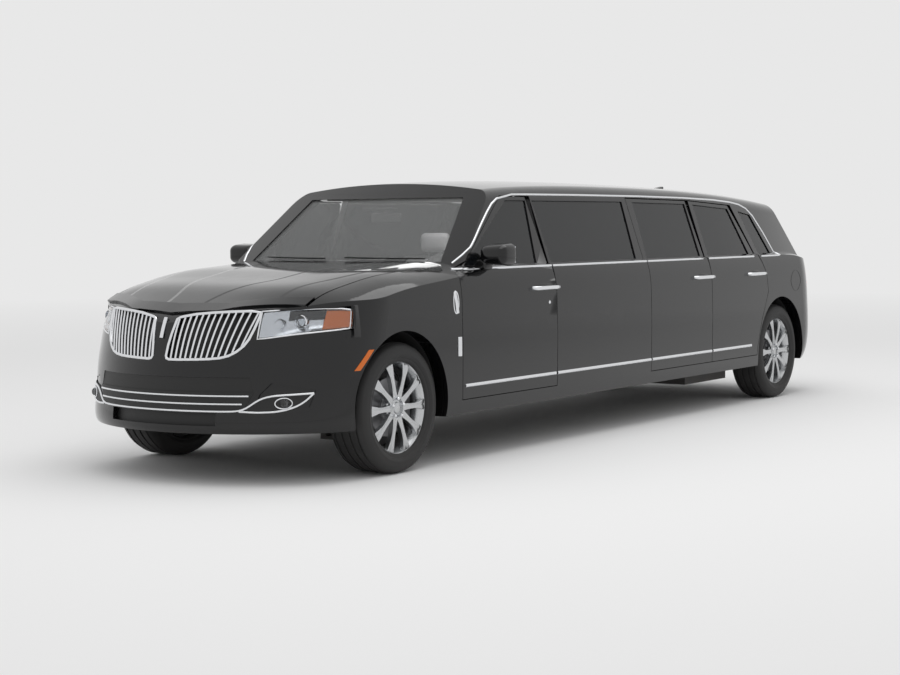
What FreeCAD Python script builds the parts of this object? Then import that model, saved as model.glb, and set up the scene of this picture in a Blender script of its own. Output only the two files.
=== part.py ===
"""Stretch limousine: a long six-door car as separate pieces with real hinges.

FreeCAD 1.1 macro, millimetres. +X forward, +Y to the car's left, +Z up, origin on the floor under the
middle of the overall box. The driving sizes are cells of the sheet "sizes".
"""
import FreeCAD, Part
import math
import os
import Sketcher
from FreeCAD import Placement, Rotation, Vector

os.makedirs("parts", exist_ok=True)
doc = FreeCAD.newDocument("stretch_limousine")

# ---------------------------------------------------------------- driving sizes
CELLS = (  # alias, millimetres or degrees, what it is
    ("overall_length", 7150, "bumper to bumper"),
    ("overall_width", 1930, "over the door skins"),
    ("roof_height", 1700, "floor to roof crown"),
    ("wheelbase", 5176, "front axle to rear axle"),
    ("front_overhang", 1012, "front axle to front bumper"),
    ("belt_height", 1140, "floor to the ledge under the side glass"),
    ("skirt_height", 285, "floor to the lower edge of the body"),
    ("wall", 90, "thickness of doors and lower side walls"),
    ("pillar_wall", 45, "thickness of pillars, window frames and roof"),
    ("lid_wall", 30, "thickness of the hood and fender tops"),
    ("shut_gap", 5, "gap between an opening panel and its neighbour"),
    ("glass_thickness", 5, "side and rear glass"),
    ("glass_inset", 8, "glass face below the frame face"),
    ("seat_clearance", 0.3, "clearance between pieces that rest on each other"),
    ("tyre_radius", 373, "outer radius of the tyre"),
    ("tyre_width", 262, "tyre section width"),
    ("rim_radius", 254, "bead seat radius"),
    ("flange_radius", 280, "outer radius of the wheel's visible rim"),
    ("wheel_face", 940, "centre plane of the car to the tyre's outer face"),
    ("hub_radius", 32, "hub spigot radius"),
    ("disc_radius", 165, "brake disc radius"),
    ("arch_radius", 432, "wheel arch opening radius"),
    ("spoke_count", 10, "spokes in a wheel"),
    ("lug_circle", 57.15, "radius of the circle of wheel nuts"),
    ("lug_count", 5, "wheel nuts"),
    ("floor_height", 330, "floor to the top of the cabin floor"),
    ("floor_thickness", 40, "cabin floor with its stiffeners"),
    ("seat_width", 560, "front seat cushion width"),
    ("seat_cushion_height", 620, "floor to the top of the seat cushion"),
    ("seat_back_height", 1190, "floor to the top of the seat back"),
    ("front_seat_place", 620, "X of the middle of the front seats"),
    ("seat_pitch", 760, "distance between the front seats' centre lines"),
    ("partition_place", 60, "X of the divider behind the front seats"),
)
sizes = doc.addObject("Spreadsheet::Sheet", "sizes")
for row, (alias, value, note) in enumerate(CELLS, 1):
    sizes.set(f"A{row}", note)
    sizes.set(f"B{row}", str(value))
    sizes.setAlias(f"B{row}", alias)
doc.recompute()
size = {alias: float(getattr(sizes, alias)) for alias, value, note in CELLS}

NOSE = size["overall_length"] / 2
TAIL = -size["overall_length"] / 2
HALF_WIDTH = size["overall_width"] / 2
FRONT_AXLE = NOSE - size["front_overhang"]
REAR_AXLE = FRONT_AXLE - size["wheelbase"]
BELT = size["belt_height"]
ROOF = size["roof_height"]
WALL = size["wall"]
PILLAR = size["pillar_wall"]
GAP = size["shut_gap"]
CLEAR = size["seat_clearance"]
FLOOR = size["floor_height"]
TYRE_RADIUS = size["tyre_radius"]
WHEEL_CENTRE = size["wheel_face"] - size["tyre_width"] / 2
FAR = 6000.0          # reaches past the whole car
SIDES = (("left", 1), ("right", -1))


# ---------------------------------------------------------------- shapes of the outer skin
RINGS = (  # height, nose set-back, tail set-back, side set-in
    (size["skirt_height"], 15, 120, 15),
    (330, 0, 65, 8),
    (450, 13, 8, 3),
    (600, 30, 0, 1),
    (720, 55, 10, 0),
    (900, 105, 30, 3),
    (1050, 160, 60, 14),
    (BELT - 20, 190, 75, 32),
    (BELT + 60, 225, 95, 70),
)
NOSE_ARC, NOSE_ARC_END = 1100.0, 800.0      # radius of the nose in plan, and where its corners begin
TAIL_ARC, TAIL_ARC_END = 2440.0, 630.0

CROWN = (  # station X, height on the centre line, fall at the fender's edge, sharpness of that fall
    (TAIL - 25, BELT - 70, 90, 5),
    (TAIL + 125, BELT - 48, 90, 5),
    (TAIL + 275, BELT - 5, 85, 6),
    (TAIL + 475, BELT + 40, 70, 7),
    (TAIL + 775, BELT + 58, 60, 7),
    (-1500, BELT + 60, 60, 7),
    (0, BELT + 60, 60, 7),
    (FRONT_AXLE - 1363, BELT + 60, 60, 7),
    (FRONT_AXLE - 963, BELT + 57, 65, 7),
    (FRONT_AXLE - 638, BELT + 47, 80, 7),
    (FRONT_AXLE - 288, BELT + 25, 85, 7),
    (FRONT_AXLE + 12, BELT + 2, 90, 7),
    (FRONT_AXLE + 262, BELT - 37, 97, 6),
    (NOSE - 500, BELT - 78, 130, 4),
    (NOSE - 300, BELT - 147, 140, 3),
    (NOSE - 200, BELT - 188, 100, 3),
    (NOSE - 130, BELT - 232, 60, 3),
    (NOSE + 25, BELT - 340, 50, 3),
)
CROWN_ACROSS = (0, 200, 380, 530, 640, 730, 800, 860, 910, 950, 1000)
FENDER_EDGE = 930.0

CABIN = (  # station X, roof height, half width at the belt, radius of the roof across
    (FRONT_AXLE - 463, ROOF - 140, 905, 5000),
    (FRONT_AXLE - 1263, ROOF - 30, 905, 5000),
    (700, ROOF - 5, 905, 5000),
    (-400, ROOF, 905, 5000),
    (-1500, ROOF - 14, 905, 4500),
    (-2300, ROOF - 32, 896, 3300),
    (-2900, ROOF - 60, 866, 2600),
    (TAIL + 75, ROOF - 120, 800, 2400),
)
SIDE_LEAN = 0.341      # how far the side glass leans in for each millimetre up
RAIL_RADIUS = 120.0    # roof rail corner
CABIN_BASE = 1000.0


def ring(height, nose_back, tail_back, side_in, inset):
    """Closed plan outline of the lower body at one height, of eight arcs and lines."""
    front, rear, half = NOSE - nose_back - inset, TAIL + tail_back + inset, HALF_WIDTH - side_in - inset
    nose_turn = math.asin(NOSE_ARC_END / NOSE_ARC)
    tail_turn = math.asin(TAIL_ARC_END / TAIL_ARC)
    corner = (half - NOSE_ARC_END) / (1 - math.sin(nose_turn))
    corner_x = front - NOSE_ARC * (1 - math.cos(nose_turn)) - corner * math.cos(nose_turn)
    heel = (half - TAIL_ARC_END) / (1 - math.sin(tail_turn))
    heel_x = rear + TAIL_ARC * (1 - math.cos(tail_turn)) + heel * math.cos(tail_turn)

    def arc(x, y, radius, start, end):
        at = [Vector(x + radius * math.cos(turn), y + radius * math.sin(turn), height)
              for turn in (start, (start + end) / 2, end)]
        return Part.Arc(*at).toShape()

    def line(x1, y1, x2, y2):
        return Part.LineSegment(Vector(x1, y1, height), Vector(x2, y2, height)).toShape()

    quarter, back = math.pi / 2, math.pi
    return Part.Wire([
        arc(front - NOSE_ARC, 0, NOSE_ARC, -nose_turn, nose_turn),
        arc(corner_x, half - corner, corner, nose_turn, quarter),
        line(corner_x, half, heel_x, half),
        arc(heel_x, half - heel, heel, quarter, back - tail_turn),
        arc(rear + TAIL_ARC, 0, TAIL_ARC, back - tail_turn, back + tail_turn),
        arc(heel_x, heel - half, heel, back + tail_turn, back + quarter),
        line(heel_x, -half, corner_x, -half),
        arc(corner_x, corner - half, corner, -quarter, -nose_turn),
    ])


def hull(inset):
    """Lower body as a solid, its sides moved in by inset."""
    return Part.makeLoft([ring(*row, inset) for row in RINGS], True, False)


def under_crown(drop):
    """Everything below the hood, fender tops and belt ledge, lowered by drop."""
    across = [-y for y in CROWN_ACROSS[:0:-1]] + list(CROWN_ACROSS)
    surface = Part.BSplineSurface()
    surface.interpolate([
        [Vector(x, y, height - drop - fall * (abs(y) / FENDER_EDGE) ** power) for y in across]
        for x, height, fall, power in CROWN])
    return surface.toShape().extrude(Vector(0, 0, -1600))


def cabin_section(x, top, belt_half, roof_radius, inset):
    """Section of the cabin across the car: leaning sides, rail corners and roof arc, all tangent."""
    lean = math.atan(SIDE_LEAN)
    out, up = math.cos(lean), math.sin(lean)
    crown, radius, corner = top - inset, roof_radius - inset, RAIL_RADIUS - inset
    side_y, side_z = belt_half - inset * out, BELT - 10 - inset * up
    centre_y, centre_z = side_y - corner * out, side_z - corner * up
    roof_z = crown - radius
    rise = centre_z - roof_z
    half_b = rise * out - centre_y * up
    along = -half_b + math.sqrt(half_b ** 2 - centre_y ** 2 - rise ** 2 + (radius - corner) ** 2)
    centre_y, centre_z = centre_y - along * up, centre_z + along * out
    reach = math.hypot(centre_y, centre_z - roof_z)
    roof_dir = (centre_y / reach, (centre_z - roof_z) / reach)
    mid = (out + roof_dir[0], up + roof_dir[1])
    mid = (mid[0] / math.hypot(*mid), mid[1] / math.hypot(*mid))

    def at(direction, side):
        return Vector(x, side * (centre_y + corner * direction[0]), centre_z + corner * direction[1])

    foot = side_y + (side_z - CABIN_BASE) * SIDE_LEAN
    rail, roof = (out, up), roof_dir
    right_foot, left_foot = Vector(x, -foot, CABIN_BASE), Vector(x, foot, CABIN_BASE)
    return Part.Wire([
        Part.LineSegment(right_foot, left_foot).toShape(),
        Part.LineSegment(left_foot, at(rail, 1)).toShape(),
        Part.Arc(at(rail, 1), at(mid, 1), at(roof, 1)).toShape(),
        Part.Arc(at(roof, 1), Vector(x, 0, crown), at(roof, -1)).toShape(),
        Part.Arc(at(roof, -1), at(mid, -1), at(rail, -1)).toShape(),
        Part.LineSegment(at(rail, -1), right_foot).toShape(),
    ])


SCREENS = {  # foot X on the centre line at the foot height, run back per millimetre up, bow at the edge
    "front": (FRONT_AXLE - 633, 1190.0, -1.228, -70.0),
    "rear": (TAIL + 180, 1120.0, 0.82, 130.0),
}
SCREEN_EDGE = 720.0


def beyond_screen(end, inset):
    """Block outside the windscreen or the rear glass, its curved face moved in by inset."""
    foot, foot_z, run, bow = SCREENS[end]
    outward = 1 if end == "front" else -1
    wires = []
    for height in (950.0, 1900.0):
        x = foot + run * (height - foot_z) - outward * inset * math.hypot(1, run)
        edge, side = x + bow * (1000 / SCREEN_EDGE) ** 2, 1000.0
        face = Part.Arc(Vector(edge, -side, height), Vector(x, 0, height), Vector(edge, side, height))
        box = Part.makePolygon([Vector(edge, side, height), Vector(outward * FAR, side, height),
                                Vector(outward * FAR, -side, height), Vector(edge, -side, height)])
        wires.append(Part.Wire([face.toShape()] + box.Edges))
    return Part.makeLoft(wires, True, True)


def cabin_loft(inset):
    return Part.makeLoft([cabin_section(*row, inset) for row in CABIN], True, False)


def cabin_block(inset, screen_inset):
    """The cabin above the belt as a solid, moved in by the insets."""
    body = cabin_loft(inset)
    return body.cut(beyond_screen("front", screen_inset)).cut(beyond_screen("rear", screen_inset))


def side_prism(outline, inner=600.0, outer=1100.0, rake=None):
    """Prism across the left side from an outline of (x, z); rake moves the inner corners in X."""
    near = Part.makePolygon([Vector(x, outer, z) for x, z in outline + outline[:1]])
    shift = rake or [0] * len(outline)
    deep = [(x + move, z) for (x, z), move in zip(outline, shift)]
    far = Part.makePolygon([Vector(x, inner, z) for x, z in deep + deep[:1]])
    return Part.makeLoft([far, near], True, True)


def front_prism(outline, start, end):
    """Prism along the car from an outline of (y, z)."""
    wire = Part.makePolygon([Vector(start, y, z) for y, z in outline + outline[:1]])
    return Part.Face(wire).extrude(Vector(end - start, 0, 0))


def plan_prism(outline, low, high):
    wire = Part.makePolygon([Vector(x, y, low) for x, y in outline + outline[:1]])
    return Part.Face(wire).extrude(Vector(0, 0, high - low))


def block(x1, x2, y1, y2, z1, z2):
    return Part.makeBox(x2 - x1, y2 - y1, z2 - z1, Vector(x1, y1, z1))


def mirrored(shape):
    return shape.mirror(Vector(0, 0, 0), Vector(0, 1, 0))


def both(shape):
    """The shape and its mirror image across the car."""
    return Part.makeCompound([shape, mirrored(shape)])


def solids(shape):
    return Part.makeCompound(shape.Solids) if len(shape.Solids) > 1 else shape.Solids[0]


nodes = {}


def register(name, feature):
    """Give a finished object its node's name."""
    feature.Label = name
    nodes[name] = feature
    return feature


def keep(name, shape):
    """Put a finished shape in the document under its node's name."""
    feature = doc.addObject("Part::Feature", name)
    feature.Shape = solids(shape)
    feature.Placement = Placement()
    return register(name, feature)


# ---------------------------------------------------------------- body shell
lower_out = hull(0).common(under_crown(0))
cabin_out = cabin_block(0, 0)
outside = lower_out.fuse(cabin_out)
inside = hull(WALL).common(under_crown(size["lid_wall"])).fuse(cabin_block(PILLAR, PILLAR))
shell = outside.cut(inside)

# Openings in the left side, as (x, z) outlines measured on the skin.
SILL_CUT = 373.0
DOOR_TOP = 1578.0
FRONT_DOOR_EDGE, FRONT_DOOR_END = FRONT_AXLE - 588, 890.0
MIDDLE_DOOR_EDGE, DOOR_SEAM, REAR_DOOR_END = -398.0, -1358.0, -2262.0
ARCH = size["arch_radius"]
PILLAR_FOOT, PILLAR_TOP = (FRONT_DOOR_EDGE - 78, BELT - 5), (1235, DOOR_TOP)
PILLAR_LEAN = (PILLAR_TOP[0] - PILLAR_FOOT[0]) / (PILLAR_TOP[1] - PILLAR_FOOT[1])
DOORS = {  # corners as (x, z, share of the rear edge's rake, lean of the edge that the corner slides on)
    "front": (
        (FRONT_DOOR_EDGE, SILL_CUT, 0, 0), (FRONT_DOOR_EDGE, 1108, 0, 0),
        (*PILLAR_FOOT, 0, 0), (*PILLAR_TOP, 0, PILLAR_LEAN),
        (FRONT_DOOR_END, DOOR_TOP, 1, 0), (FRONT_DOOR_END, SILL_CUT, 1, 0)),
    "middle": (
        (MIDDLE_DOOR_EDGE, SILL_CUT, 0, 0), (MIDDLE_DOOR_EDGE, DOOR_TOP, 0, 0),
        (DOOR_SEAM, DOOR_TOP - 12, 1, 0), (DOOR_SEAM, SILL_CUT, 1, 0)),
    "rear": (
        (DOOR_SEAM - GAP, SILL_CUT, 0, 0), (DOOR_SEAM - GAP, DOOR_TOP - 12, 0, 0),
        (REAR_DOOR_END + 190, DOOR_TOP - 45, 1, 0), (REAR_DOOR_END, BELT, 1, 0),
        (REAR_DOOR_END - 75, 1000, 1, 0), (REAR_DOOR_END - 100, 860, 1, 0),
        (REAR_AXLE + ARCH - 55, 640, 1, 0), (REAR_AXLE + ARCH + 20, 430, 1, 0),
        (REAR_AXLE + ARCH + 25, SILL_CUT, 1, 0)),
}
RAKE = 0.25            # slope of a door's rear and top edges through its thickness
RAIL_FACE = 750.0      # outer face of the roof rail over the doors
HEADER_GAP = 4.0       # extra room over a door, because the roof falls towards the rear
DOOR_DEPTH_FROM, DOOR_DEPTH_TO = 1100.0, 600.0
WINDOWS = {  # (x, z) outlines of the side glass, and the piece that holds it
    "front": ((1860, 1157), (1190, 1553), (948, 1553), (1030, 1157)),
    "fixed": ((850, 1157), (871, 1553), (-332, 1553), (-295, 1157)),
    "middle": ((-452, 1157), (-480, 1550), (-1290, 1542), (-1290, 1157)),
    "rear": ((-1420, 1157), (-1420, 1538), (-2006, 1508), (-2150, 1157)),
    "quarter": ((-2330, 1157), (-2190, 1490), (-2400, 1462), (-2584, 1157)),
}


def door_prism(name):
    """Block that cuts a door from the shell: its rear edge leans forward and its top edge down, inboard."""
    wires = []
    for y in (DOOR_DEPTH_TO, DOOR_DEPTH_FROM):
        forward, up = (HALF_WIDTH - y) * RAKE, (y - RAIL_FACE) * RAKE - HEADER_GAP
        outline = []
        for x, z, raked, lean in DOORS[name]:
            rise = up if z > BELT + 200 else 0
            outline.append((x + raked * forward + lean * rise, z + rise))
        wires.append(Part.makePolygon([Vector(x, y, z) for x, z in outline + outline[:1]]))
    return Part.makeLoft(wires, True, True)


def grown(outline, by):
    """Outline moved out by a distance on every edge; corners run on."""
    count = len(outline)
    area = sum(outline[i][0] * outline[(i + 1) % count][1] - outline[(i + 1) % count][0] * outline[i][1]
               for i in range(count))
    turn = 1 if area > 0 else -1
    result = []
    for i in range(count):
        (ax, az), (bx, bz), (cx, cz) = outline[i - 1], outline[i], outline[(i + 1) % count]
        u, v = Vector(bx - ax, bz - az, 0).normalize(), Vector(cx - bx, cz - bz, 0).normalize()
        n1, n2 = Vector(u.y, -u.x, 0) * turn, Vector(v.y, -v.x, 0) * turn
        middle = n1 + n2
        middle = middle * (by / middle.dot(n1))
        result.append((bx + middle.x, bz + middle.y))
    return result


door_holes = [side_prism(grown([(x, z) for x, z, raked, lean in DOORS[name]], GAP)) for name in DOORS]
window_holes = {name: side_prism(list(outline)) for name, outline in WINDOWS.items()}

frame = shell
for hole in door_holes:
    frame = frame.cut(both(hole))
for name in ("fixed", "quarter"):
    frame = frame.cut(both(window_holes[name]))
arches = Part.makeCompound([
    Part.makeCylinder(ARCH, 2 * FAR, Vector(x, -FAR, TYRE_RADIUS + 5), Vector(0, 1, 0))
    for x in (FRONT_AXLE, REAR_AXLE)])
frame = frame.cut(arches)

# Screens.
WINDSCREEN = [(-735, 1180), (735, 1180), (600, 1572), (-600, 1572)]
BACKLIGHT = [(-680, 1165), (680, 1165), (575, 1520), (-575, 1520)]
windscreen_hole = front_prism(WINDSCREEN, 1000, FRONT_AXLE - 400)
backlight_hole = front_prism(BACKLIGHT, TAIL - 50, -2700)
frame = frame.cut(windscreen_hole)

# Hood: a lid in the crown, cut by a raked block so that its front edge clears as it lifts.
HOOD_HINGE = FRONT_AXLE - 598
HOOD_NOSE = NOSE - 190
HOOD = [(HOOD_HINGE, 800), (NOSE - 420, 740), (NOSE - 330, 560), (HOOD_NOSE, 320), (HOOD_NOSE + 30, 0),
        (HOOD_NOSE, -320), (NOSE - 330, -560), (NOSE - 420, -740), (HOOD_HINGE, -800)]
HOOD_TOP, HOOD_BOTTOM = 1300.0, 860.0


def hood_block(outline, rake):
    top = Part.makePolygon([Vector(x, y, HOOD_TOP) for x, y in outline + outline[:1]])
    lean = (HOOD_TOP - HOOD_BOTTOM) * rake
    low = [(x if x < HOOD_HINGE + 50 else x - lean, y) for x, y in outline]
    bottom = Part.makePolygon([Vector(x, y, HOOD_BOTTOM) for x, y in low + low[:1]])
    return Part.makeLoft([bottom, top], True, True)


lid_shell = lower_out.cut(under_crown(size["lid_wall"]))
hood_shape = lid_shell.common(hood_block(HOOD, RAKE))
frame = frame.cut(hood_block(grown(HOOD, GAP), 0))

# Tailgate.
GATE = [(-800, 640), (800, 640), (800, 1040), (735, 1120), (610, 1760), (-610, 1760), (-735, 1120), (-800, 1040)]
GATE_SEAM = -2960.0
gate_prism = front_prism(GATE, TAIL - 100, GATE_SEAM)
gate_shape = shell.common(gate_prism).cut(backlight_hole)
gate_hole = front_prism(grown(GATE, GAP), TAIL - 100, GATE_SEAM + GAP)
frame = frame.cut(gate_hole)

# Split the fixed shell where the real panels meet.
BUMPER_EDGE = NOSE - 560
REAR_BUMPER_TOP, REAR_BUMPER_EDGE = 640.0, TAIL + 480
LAMP_LOW, LAMP_HIGH = 815.0, 960.0
nose_zone = block(BUMPER_EDGE, FAR, -FAR, FAR, 0, LAMP_LOW).fuse(
    block(NOSE - 350, FAR, -565, 565, 0, 1300))
fender_zone = block(FRONT_DOOR_EDGE + 2, FAR, -FAR, FAR, 0, 1300).cut(nose_zone)
tail_zone = block(-FAR, REAR_BUMPER_EDGE, -FAR, FAR, 0, REAR_BUMPER_TOP - GAP)
ROOF_SPLIT = 1602.0
roof_zone = block(-FAR, FAR, -FAR, FAR, ROOF_SPLIT, 2000)

bumper = frame.common(nose_zone)
fenders = frame.common(fender_zone)
roof = frame.common(roof_zone)
rear_bumper = frame.common(tail_zone)
frame = frame.cut(nose_zone).cut(fender_zone).cut(roof_zone).cut(tail_zone)

# Lamps and grille openings in the nose.
LAMP = [(556, 935), (950, 970), (950, 838), (700, 820), (545, 800)]
GRILLE = [(77, 905), (540, 940), (525, 800), (470, 735), (380, 697), (51, 683)]
MOUTH = [(-560, 505), (560, 505), (540, 590), (-540, 590)]
INTAKE = [(-380, 330), (380, 330), (380, 400), (-380, 400)]
FOG = [(560, 400), (800, 430), (820, 520), (640, 560), (590, 500)]
lamp_prism = front_prism(LAMP, NOSE - 620, FAR)
grille_prism = front_prism(GRILLE, NOSE - 400, FAR)
fog_prism = front_prism(FOG, NOSE - 620, FAR)
for hole in (both(lamp_prism), both(grille_prism), both(fog_prism), front_prism(MOUTH, NOSE - 600, FAR),
             front_prism(INTAKE, NOSE - 600, FAR)):
    bumper = bumper.cut(hole)
fenders = fenders.cut(both(lamp_prism))
TAIL_LAMP = [(640, 1030), (985, 1030), (985, 860), (640, 860)]
tail_lamp_prism = front_prism(TAIL_LAMP, TAIL - 100, TAIL + 420)

# Grille halves: a rim proud of the nose, and upright bars that lean out more towards the lamps.
BAR_COUNT, BAR_HALF, RIM_WALL = 12, 7.0, 14.0
GRILLE_LOW, GRILLE_HIGH, OUTER_LEAN = 670.0, 960.0, 95.0
rim_band = hull(-5).cut(hull(30))
bar_band = hull(1).cut(hull(28))
rim_outer = front_prism(grown(GRILLE, -CLEAR), NOSE - 400, FAR)
rim_inner = front_prism(grown(GRILLE, -RIM_WALL), NOSE - 400, FAR)
grille_half = rim_band.common(rim_outer).cut(rim_inner)
bar_start, bar_end = GRILLE[-1][0] + RIM_WALL, GRILLE[1][0] - RIM_WALL
bars = []
for index in range(BAR_COUNT):
    share = (index + 0.6) / BAR_COUNT
    foot = bar_start + share * (bar_end - bar_start - OUTER_LEAN * 0.6)
    head = foot + share * OUTER_LEAN
    bars.append(front_prism([(foot - BAR_HALF, GRILLE_LOW), (foot + BAR_HALF, GRILLE_LOW),
                             (head + BAR_HALF, GRILLE_HIGH), (head - BAR_HALF, GRILLE_HIGH)], NOSE - 400, FAR))
within_grille = front_prism(grown(GRILLE, -RIM_WALL + 2), NOSE - 400, FAR)
grille_half = grille_half.fuse(bar_band.common(within_grille).common(Part.makeCompound(bars)))
keep("grille", both(grille_half))

lamp_ring = lower_out.cut(hull(70))
lamps = lamp_ring.common(front_prism(grown(LAMP, -CLEAR), NOSE - 560, FAR))
frame = frame.cut(both(tail_lamp_prism))

# Pillar between the middle and rear doors, inboard of both.
POST_INSET, POST_THICK, POST_CABIN = GAP + 3, 42.0, 28.0
post_zone = block(DOOR_SEAM - 82, DOOR_SEAM + 42, -FAR, FAR, FLOOR + CLEAR, 2000)


def post_part(outer, inner, low, high):
    """Slice of the pillar between two skins."""
    return outer.common(post_zone).common(block(-FAR, FAR, -FAR, FAR, low, high)).cut(inner)


hull_in, cabin_in = hull(WALL + POST_INSET + POST_THICK), cabin_loft(PILLAR + POST_INSET + POST_CABIN)
post_parts = [
    post_part(hull(WALL - 20), hull_in, 0, SILL_CUT - GAP - 1),
    post_part(hull(WALL + POST_INSET), hull_in, 0, BELT - 20),
    post_part(cabin_loft(PILLAR + POST_INSET), cabin_in, BELT - 100, ROOF_SPLIT - 2),
    post_part(cabin_loft(PILLAR - 20), cabin_in, DOOR_TOP + GAP + 1, ROOF_SPLIT - 1),
]
for part in post_parts:
    frame = frame.fuse(part)

# Hinge leaves: pads on the fixed side of each seam that carry the opening panels.
LEAF_DEEP, LEAF_WIDE, LEAF_TALL = GAP - CLEAR + 0.2, 50.0, 80.0
LEAF_Y, LEAF_HEIGHTS = HALF_WIDTH - 80, (520.0, 880.0)


def door_leaves(edge):
    pads = [block(edge + CLEAR, edge + CLEAR + LEAF_DEEP, LEAF_Y, LEAF_Y + LEAF_WIDE, z, z + LEAF_TALL)
            for z in LEAF_HEIGHTS]
    return Part.makeCompound([item for pad in pads for item in (pad, mirrored(pad))])


fenders = fenders.fuse(door_leaves(FRONT_DOOR_EDGE))
frame = frame.fuse(door_leaves(MIDDLE_DOOR_EDGE))
rear_pads = hull(WALL + CLEAR).cut(hull(WALL + POST_INSET + 2)).common(Part.makeCompound([
    block(DOOR_SEAM - 78, DOOR_SEAM - 56, -FAR, FAR, z, z + LEAF_TALL) for z in LEAF_HEIGHTS]))
frame = frame.fuse(rear_pads)
gate_pad = block(GATE_SEAM + CLEAR, GATE_SEAM + CLEAR + LEAF_DEEP, 310, 370, 1575, 1600)
hood_pad = block(HOOD_HINGE - CLEAR - LEAF_DEEP, HOOD_HINGE - CLEAR, 470, 530, 1160, 1178)
frame = frame.fuse(both(gate_pad)).fuse(both(hood_pad))
QUARTER_SEAM = REAR_DOOR_END - 20
quarter_zone = block(-FAR, QUARTER_SEAM, -FAR, FAR, 0, 2000)
keep("front_fenders", fenders)
keep("body_frame", frame.cut(quarter_zone))
keep("quarter_panels", frame.common(quarter_zone))
keep("roof_panel", roof)
keep("front_bumper", bumper)
keep("rear_bumper", rear_bumper)
keep("headlamps", both(lamps))
keep("tail_lamps", both(shell.common(tail_lamp_prism).cut(gate_hole)))
keep("hood", hood_shape)
keep("tailgate", gate_shape)

# Door mirrors, carried on the front doors.
MIRROR = block(1715, 1905, 925, 1120, 1168, 1290)
mirror = MIRROR.makeFillet(45, MIRROR.Edges)
arm = block(1775, 1865, 880, 960, BELT + 1, 1156.5).fuse(block(1775, 1865, 912, 960, BELT + 1, 1200))
mirror = mirror.fuse(arm)

left_doors = {}
for name in DOORS:
    door = shell.common(door_prism(name)).cut(window_holes[name]).cut(arches)
    left_doors[name] = door.fuse(mirror) if name == "front" else door
for name, door in left_doors.items():
    keep(f"{name}_door_left", door)
    keep(f"{name}_door_right", mirrored(door))

pane_shell = cabin_block(size["glass_inset"], size["glass_inset"]).cut(
    cabin_block(size["glass_inset"] + size["glass_thickness"], size["glass_inset"] + size["glass_thickness"]))
for name in DOORS:
    pane = pane_shell.common(side_prism(grown(list(WINDOWS[name]), -CLEAR)))
    keep(f"{name}_glass_left", pane)
    keep(f"{name}_glass_right", mirrored(pane))
fixed = [pane_shell.common(side_prism(grown(list(WINDOWS[name]), -CLEAR))) for name in ("fixed", "quarter")]
windscreen = pane_shell.common(front_prism(grown(WINDSCREEN, -CLEAR), 1000, FRONT_AXLE - 400))
keep("fixed_glass", Part.makeCompound([fixed[0], mirrored(fixed[0]), fixed[1], mirrored(fixed[1]), windscreen]))
keep("tailgate_glass", pane_shell.common(front_prism(grown(BACKLIGHT, -CLEAR), TAIL - 50, -2700)))


# ---------------------------------------------------------------- helpers for bound pieces
FRONT_AXLE_X = "(sizes.overall_length / 2 - sizes.front_overhang)"
REAR_AXLE_X = f"({FRONT_AXLE_X} - sizes.wheelbase)"
HALF_TRACK = "(sizes.wheel_face - sizes.tyre_width / 2)"


def bound(feature, **texts):
    """Bind properties to expressions; double underscores stand for the dots in a property's path."""
    for path, text in texts.items():
        feature.setExpression(path.replace("__", "."), str(text))
    return feature


def box(name, x, y, z, length, width, height):
    """Part::Box with its low corner and its sizes as expressions."""
    return bound(doc.addObject("Part::Box", name), Length=length, Width=width, Height=height,
                 Placement__Base__x=x, Placement__Base__y=y, Placement__Base__z=z)


def rod(name, x, y, z, radius, length, direction=(0, 0, 1)):
    """Part::Cylinder from a point along a direction."""
    feature = doc.addObject("Part::Cylinder", name)
    feature.Placement = Placement(Vector(), Rotation(Vector(0, 0, 1), Vector(*direction)))
    return bound(feature, Radius=radius, Height=length,
                 Placement__Base__x=x, Placement__Base__y=y, Placement__Base__z=z)


def fused(name, parts):
    feature = doc.addObject("Part::MultiFuse", name)
    feature.Shapes = parts
    return register(name, feature)


def cut(name, base, tool):
    feature = doc.addObject("Part::Cut", name)
    feature.Base, feature.Tool = base, tool
    return register(name, feature)


def compound(name, parts):
    feature = doc.addObject("Part::Compound", name)
    feature.Links = parts
    return register(name, feature)


def origin_plane(body, role):
    return next(item for item in body.Origin.OriginFeatures if item.Role == role)


def sketch(body, name, role, corners):
    """Closed outline on one of the body's origin planes; each corner is a pair of expressions."""
    item = body.newObject("Sketcher::SketchObject", name)
    item.AttachmentSupport, item.MapMode = (origin_plane(body, role), [""]), "FlatFace"
    values = [tuple(float(item.evalExpression(str(text))) for text in corner) for corner in corners]
    count = len(values)
    for i in range(count):
        start, end = values[i], values[(i + 1) % count]
        item.addGeometry(Part.LineSegment(Vector(*start, 0), Vector(*end, 0)), False)
    for i in range(count):
        item.addConstraint(Sketcher.Constraint("Coincident", i, 2, (i + 1) % count, 1))
    for i, (across, up) in enumerate(corners):
        for kind, text, value in (("DistanceX", across, values[i][0]), ("DistanceY", up, values[i][1])):
            index = item.addConstraint(Sketcher.Constraint(kind, -1, 1, i, 1, value))
            if "sizes." in str(text):
                item.setExpression(f"Constraints[{index}]", str(text))
    return item


def revolved(body, name, corners):
    outline = sketch(body, name + "_outline", "XZ_Plane", corners)
    feature = body.newObject("PartDesign::Revolution", name)
    feature.Profile, feature.ReferenceAxis = outline, (outline, ["V_Axis"])
    feature.Angle = 360
    return feature


def new_body(name):
    body = doc.addObject("PartDesign::Body", name)
    return register(name, body)


# ---------------------------------------------------------------- wheels
AXLES = (("front", FRONT_AXLE_X), ("rear", REAR_AXLE_X))
BEAD = "sizes.rim_radius"
FLANGE = "sizes.flange_radius"
RIM_HALF, FLANGE_WALL = 104, 8


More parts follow.
